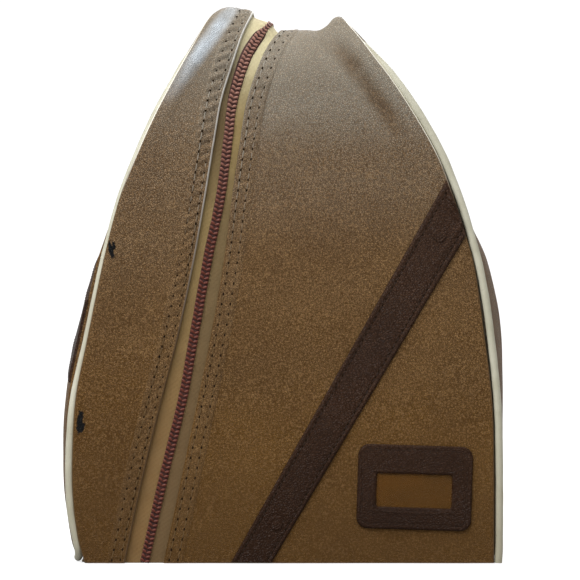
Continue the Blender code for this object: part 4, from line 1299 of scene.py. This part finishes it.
def band_place(along, across):
    """x and height on the diagonal band; both run from 0 to 1."""
    corners = [np.array(corner) for corner in (BAND_LOWER_LEFT, BAND_UPPER_LEFT,
                                               BAND_LOWER_RIGHT, BAND_UPPER_RIGHT)]
    left = corners[0] + (corners[1] - corners[0]) * along[..., None]
    right = corners[2] + (corners[3] - corners[2]) * along[..., None]
    place = left + (right - left) * across[..., None]
    return place[..., 0], place[..., 1]


def band_rise(along, across):
    """Height of the band's face above the front, with its turned edges and creases."""
    from_edge = np.minimum(across, 1 - across) * BAND_WIDTH
    rise = TRIM_RISE * quarter_round(from_edge / 1.1)
    rise -= 0.30 * bell(from_edge - BAND_ROW, 0.7)
    rise += 0.18 * bell(from_edge - 1.4, 0.6)
    ripple = np.sin(along * 61 + 4 * across) * np.sin(along * 23 - 2 * across)
    crease = bell(across - 0.74 - 0.5 * (along - 0.93), 0.035)
    crease *= step_between(along, 0.84, 0.88)
    place_x, place_z = band_place(along, across)
    for start, end in BAND_FOLDS:
        run = np.subtract(end, start)
        share = ((place_x - start[0]) * run[0] + (place_z - start[1]) * run[1]) / (run @ run)
        share = np.clip(share, 0, 1)
        off = np.hypot(place_x - start[0] - share * run[0], place_z - start[1] - share * run[1])
        rise += 0.75 * bell(off, 0.75) - 0.35 * bell(off - 1.9, 0.8)
    for x, height in BAND_RIVETS.values():
        reach = np.hypot(place_x - x, place_z - height)
        rise -= 0.35 * bell(reach - 5.4, 0.9)
    return rise + 0.10 * ripple + 0.35 * crease


def build_band():
    """The diagonal band, its stitches and the covered rivet heads on it."""
    along = (1 - np.cos(np.linspace(0, pi, 361)))[:, None] / 2
    along = 0.7 * np.linspace(0, 1, 361)[:, None] + 0.3 * along
    across = (1 - np.cos(np.linspace(0, pi, 49)))[None, :] / 2
    along, across = np.broadcast_arrays(along, across)
    x, height = band_place(along, across)
    outer = on_front(x, height, band_rise(along, across))
    inner = on_front(x, height, np.full(x.shape, 0.05))
    band = slab("front_band_vinyl", outer, inner, [finishes["trim"]])
    stand_in(band, "body", "brown_vinyl", "front_diagonal_band")
    shapes = []
    for place in (BAND_ROW / BAND_WIDTH, 1 - BAND_ROW / BAND_WIDTH):
        run = np.linspace(0.01, 0.985, 600)
        side = np.full(run.shape, place)
        x, height = band_place(run, side)
        line = resample(on_front(x, height, band_rise(run, side)), BAND_STITCH)
        shapes += sewn(line, (0.0, -1.0, TAPER), BAND_STITCH, 0.34)
    stitches = scatter("front_band_stitches", shapes,
                       [finishes["dark_thread"], finishes["hole"]])
    stand_in(stitches, "body", "brown_vinyl")
    outline = [(4.2, 0.0), (4.2, 0.45), (3.9, 0.75), (3.3, 0.85), (2.9, 0.62), (2.4, 0.55),
               (1.6, 0.80), (0.8, 0.95), (0.2, 1.0)]
    for name, (x, height) in BAND_RIVETS.items():
        centre = on_front([x], [height], [TRIM_RISE - 0.35])[0]
        head = lathe(name + "_cap", outline, centre, (0, -1, TAPER), [finishes["trim"]])
        stand_in(head, "body", "brown_vinyl", name)


def rounded_loop(centre, size, radius, tilt, corner_steps=10, side_steps=26):
    """(x, height) points anticlockwise round a rectangle with rounded corners."""
    points = []
    for corner in range(4):
        side_x, side_z = ((1, 1), (-1, 1), (-1, -1), (1, -1))[corner]
        for step in range(corner_steps + 1):
            angle = pi / 2 * (corner + step / corner_steps)
            points.append((side_x * (size[0] / 2 - radius) + radius * cos(angle),
                           side_z * (size[1] / 2 - radius) + radius * sin(angle)))
        next_x, next_z = ((-1, 1), (-1, -1), (1, -1), (1, 1))[corner]
        angle = pi / 2 * (corner + 1)
        end = (next_x * (size[0] / 2 - radius) + radius * cos(angle),
               next_z * (size[1] / 2 - radius) + radius * sin(angle))
        last = points[-1]
        for step in range(1, side_steps):
            share = step / side_steps
            points.append((last[0] + (end[0] - last[0]) * share,
                           last[1] + (end[1] - last[1]) * share))
    points = np.array(points)
    turned = np.stack([points[:, 0] * cos(tilt) - points[:, 1] * sin(tilt),
                       points[:, 0] * sin(tilt) + points[:, 1] * cos(tilt)], axis=-1)
    return turned + np.array(centre)


def build_address_frame():
    """The soft frame round the address window, and the film in it."""
    outer = rounded_loop(FRAME_CENTRE, FRAME_SIZE, 7.0, FRAME_TILT)
    hole = rounded_loop(WINDOW_CENTRE, WINDOW_SIZE, 1.8, FRAME_TILT)
    gap = np.linalg.norm(outer - hole, axis=1)
    shares = 0.5 - 0.5 * np.cos(np.linspace(0, pi, 34))
    rings_top, rings_low = [], []
    local = np.array([[cos(FRAME_TILT), -sin(FRAME_TILT)], [sin(FRAME_TILT), cos(FRAME_TILT)]])
    for share in shares:
        loop = outer + (hole - outer) * share
        from_outer = share * gap
        from_hole = (1 - share) * gap
        place = (loop - np.array(FRAME_CENTRE)) @ local
        rise = 1.5 * quarter_round(from_outer / 1.3)
        rise *= 0.35 + 0.65 * quarter_round(from_hole / 1.6)
        rise -= 0.28 * bell(from_outer - 3.4, 0.7)
        upright = bell(place[:, 0] + FRAME_SIZE[0] / 2 - 9.8, 0.7)
        rise += 0.22 * upright * step_between(from_outer, 2, 4)
        bow = place[:, 1] + 14.2 + 1.6 * (1 - (place[:, 0] / 30) ** 2)
        lip = bell(bow + 0.2, 0.6) * (abs(place[:, 0] + 2) < 27)
        rise += 0.35 * lip * step_between(from_outer, 2, 4)
        slant = np.sin(1.15 * (place[:, 1] - 0.55 * place[:, 0]) + np.sin(0.4 * place[:, 0]))
        rise += 0.07 * slant * step_between(place[:, 1], 6, 12)
        rise += 0.05 * np.sin(0.9 * place[:, 0] + 1.7 * place[:, 1])
        rings_top.append(on_front(loop[:, 0], loop[:, 1], 0.35 + np.maximum(rise, 0.0)))
        rings_low.append(on_front(loop[:, 0], loop[:, 1], np.full(len(loop), 0.32)))
    rings = np.array(rings_top + rings_low[::-1])
    body = ring_mesh("address_frame_vinyl", rings, [finishes["trim"]], closed=True)
    stand_in(body, "body", "brown_vinyl", "address_frame")
    stitched = [size - 2 * FRAME_ROW for size in FRAME_SIZE]
    line = rounded_loop(FRAME_CENTRE, stitched, 4.5, FRAME_TILT)
    points = resample(on_front(line[:, 0], line[:, 1], np.full(len(line), 1.62)), FRAME_STITCH,
                      closed=True)
    stitches = scatter("address_frame_stitches",
                       sewn(points, (0.0, -1.0, TAPER), FRAME_STITCH, 0.26, with_holes=False),
                       [finishes["dark_thread"]])
    stand_in(stitches, "body", "brown_vinyl")
    share_x, share_z = np.meshgrid(np.linspace(-1, 1, 50), np.linspace(-1, 1, 26))
    x = WINDOW_CENTRE[0] + share_x * (WINDOW_SIZE[0] / 2 + 3.5)
    height = WINDOW_CENTRE[1] + share_z * (WINDOW_SIZE[1] / 2 + 3.5)
    ripple = 0.05 * np.sin(x * 0.7 + height * 0.4) * np.sin(height * 0.9)
    film = slab("address_film_sheet", on_front(x, height, 0.24 + ripple),
                on_front(x, height, 0.06 + ripple), [finishes["film"]])
    stand_in(film, "body", "clear_film", "address_window_film")


# ---- Handle and metalwork ----

def strap_grid(low_y, high_y, depth):
    """A grid across and along the handle strap, at a depth below its crown."""
    rows = np.linspace(low_y, high_y, 44)[:, None]
    across = np.sin(np.linspace(-pi / 2, pi / 2, 25))[None, :]
    half = HANDLE_WIDTH / 2
    height = HANDLE_SEAT + HANDLE_RISE * np.cos(pi / 2 * rows / HANDLE_REACH) ** 2
    from_edge = (1 - abs(across)) * half
    turn = (HANDLE_THICKNESS / 2) * (1 - quarter_round(from_edge / 1.4))
    crown = 0.8 * (1 - across ** 2)
    if depth:
        z = height + crown - HANDLE_THICKNESS + turn
    else:
        groove = 0.22 * bell(from_edge - HANDLE_ROW, 0.6)
        z = height + crown - turn - groove + 0.06 * np.sin(rows * 1.3) * np.sin(across * 4)
    x = HANDLE_X + across * half + 0 * rows
    return np.stack([x, rows + 0 * x, z], axis=-1)


def build_end_cap(word, side):
    """The tab over one end of the strap, with its rivet."""
    low, high = (np.array(corner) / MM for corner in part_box("handle_end_cap_" + word))
    span = np.linspace(0, 1, 22)[:, None]
    across = np.sin(np.linspace(-pi / 2, pi / 2, 27))[None, :]
    near, far = (high[1], low[1] + 1.5) if side < 0 else (low[1], high[1] - 1.5)
    y = near + (far - near) * span + 0 * across
    half = HANDLE_WIDTH / 2 * np.sqrt(1 - 0.30 * span ** 4)
    x = HANDLE_X + across * half
    path = STRAIGHT_ROWS + SHOULDER_ROWS + TOP_ROWS * (1 - abs(y) / CREST_HALF_DEPTH)
    path = np.where(y < 0, path, ALL_ROWS - path)
    crest_low = surface(HALF_ROWS, AT_RIGHT_FOLD)[0]
    crest_high = surface(HALF_ROWS, AT_RIGHT_SEAM)[0]
    place = AT_RIGHT_FOLD + (x - crest_low) / (crest_high - crest_low)
    ground = surface(path, place)[..., 2] + face_lift(path, place)
    edge = np.minimum.reduce([(1 - abs(across)) * half, span * 7.8 + 0 * x,
                              (1 - span) * 7.8 + 0 * x])
    crown = (PAD_THICKNESS + 0.2) * quarter_round(edge)
    groove = 0.18 * bell(edge - 1.9, 0.45)
    outer = np.stack([x, y, ground + PAD_LIFT + crown - groove], axis=-1)
    inner = np.stack([x, y, ground + 0.15], axis=-1)
    cap = slab("handle_tab_" + word, outer, inner, [finishes["trim"]])
    stand_in(cap, "body", "brown_vinyl", "handle_end_cap_" + word)
    rivet_low, rivet_high = (np.array(corner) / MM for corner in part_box("handle_rivet_" + word))
    centre = (rivet_low + rivet_high) / 2
    centre[1] = (near + far) / 2
    row = STRAIGHT_ROWS + SHOULDER_ROWS + TOP_ROWS * (1 - abs(centre[1]) / CREST_HALF_DEPTH)
    ground = surface(np.array(row), np.array(3.5))[2] + float(face_lift(row, 3.5))
    centre[2] = ground + PAD_LIFT + PAD_THICKNESS + 0.1
    outline = [(3.2, 0.0), (3.2, 0.35), (3.0, 0.55), (2.5, 0.75), (1.8, 0.88), (0.9, 0.96),
               (0.2, 0.98)]
    head = lathe("handle_rivet_head_" + word, outline, centre, (0, 0, 1), [finishes["brass"]])
    stand_in(head, "body", "aged_brass", "handle_rivet_" + word)


def build_handle():
    """The strap in two halves that bend from their caps to the middle, caps and rivets."""
    for word, side in (("front", -1), ("back", 1)):
        low, high = sorted((0.0, side * HANDLE_REACH))
        strap = slab("handle_strap_" + word, strap_grid(low, high, 0.0),
                     strap_grid(low, high, HANDLE_THICKNESS), [finishes["trim"]])
        lines = []
        for place in (-1, 1):
            near, far = (0.5, 2) if side > 0 else (2, 0.5)
            run = np.linspace(low + near, high - far, 200)
            height = HANDLE_SEAT + HANDLE_RISE * np.cos(pi / 2 * run / HANDLE_REACH) ** 2 + 0.42
            x = HANDLE_X + place * (HANDLE_WIDTH / 2 - HANDLE_ROW) + 0 * run
            line = resample(np.stack([x, run, height], axis=-1), HANDLE_STITCH)
            lines += sewn(line, (0.0, 0.0, 1.0), HANDLE_STITCH, 0.3, with_holes=False)
        stitches = scatter("handle_stitches_" + word, lines, [finishes["dark_thread"]])
        for piece in (strap, stitches):
            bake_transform(piece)
        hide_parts("handle_strap")
        build_end_cap(word, side)


def finish_metal():
    """Aged brass with softened edges on the slider, its pull and the stops."""
    for name in ("zip_slider", "zip_pull", "body_zip_stop", "lid_zip_stop"):
        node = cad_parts[name]
        node.data.materials[0] = finishes["brass"]
        edge = node.modifiers.new("soft_edges", "BEVEL")
        edge.width = 0.25 * MM
        edge.segments = 2
        edge.limit_method = "ANGLE"
        node.data.shade_smooth()
        node.data.set_sharp_from_angle(angle=radians(40))


# ---- Stage ----

def build_stage():
    """Pale floor, soft lights and the camera."""
    world = bpy.context.scene.world or bpy.data.worlds.new("studio")
    bpy.context.scene.world = world
    world.use_nodes = True
    tree = world.node_tree
    backdrop = tree.nodes["Background"]
    backdrop.inputs["Color"].default_value = (1.0, 1.0, 1.0, 1.0)
    seen = add(tree, "ShaderNodeLightPath").outputs["Is Camera Ray"]
    toward = add(tree, "ShaderNodeTexCoord").outputs["Generated"]
    height = axis_of(tree, toward, 2)
    light = maths(tree, "ADD", spread(tree, height, 0.0, 0.9, WORLD_LEVEL, WORLD_ABOVE),
                  spread(tree, height, 0.0, -0.3, 0.0, WORLD_BELOW - WORLD_LEVEL))
    unseen = maths(tree, "SUBTRACT", 1.0, seen)
    strength = maths(tree, "ADD", times(tree, seen, 1.1), times(tree, unseen, light))
    tree.links.new(strength, backdrop.inputs["Strength"])

    bpy.ops.mesh.primitive_plane_add(size=14.0, location=(0, 0, -0.0002))
    floor = bpy.context.object
    floor.name = "floor"
    made, tree, shader, place = start_material("floor_white", Roughness=0.9,
                                               Specular_IOR_Level=0.1)
    shader.inputs["Base Color"].default_value = (FLOOR_GREY, FLOOR_GREY, FLOOR_GREY, 1.0)
    seen = add(tree, "ShaderNodeLightPath").outputs["Is Camera Ray"]
    shader.inputs["Emission Color"].default_value = (1.0, 1.0, 1.0, 1.0)
    tree.links.new(times(tree, seen, FLOOR_GLOW), shader.inputs["Emission Strength"])
    floor.data.materials.append(made)

    for name, place, aim, size, power, colour in LIGHTS:
        lamp = bpy.data.lights.new(name, "AREA")
        lamp.shape = "DISK"
        lamp.size = size
        lamp.energy = power
        lamp.color = colour
        thing = bpy.data.objects.new(name, lamp)
        thing.location = place
        toward = Vector(aim) - Vector(place)
        thing.rotation_euler = toward.to_track_quat("-Z", "Y").to_euler()
        bpy.context.scene.collection.objects.link(thing)

    camera = bpy.data.cameras.new("camera")
    camera.lens = CAMERA_LENS
    camera.sensor_width = 36.0
    camera.clip_end = 50.0
    eye = bpy.data.objects.new("camera", camera)
    eye.location = CAMERA_PLACE
    toward = Vector(CAMERA_AIM) - eye.location
    eye.rotation_euler = toward.to_track_quat("-Z", "Y").to_euler()
    bpy.context.scene.collection.objects.link(eye)
    bpy.context.scene.camera = eye
    bpy.context.scene.view_settings.view_transform = "Standard"
    bpy.context.scene.view_settings.look = "None"


build_wrap()
build_sides()
build_base()
build_band()
build_address_frame()
build_handle()
finish_metal()
build_stage()
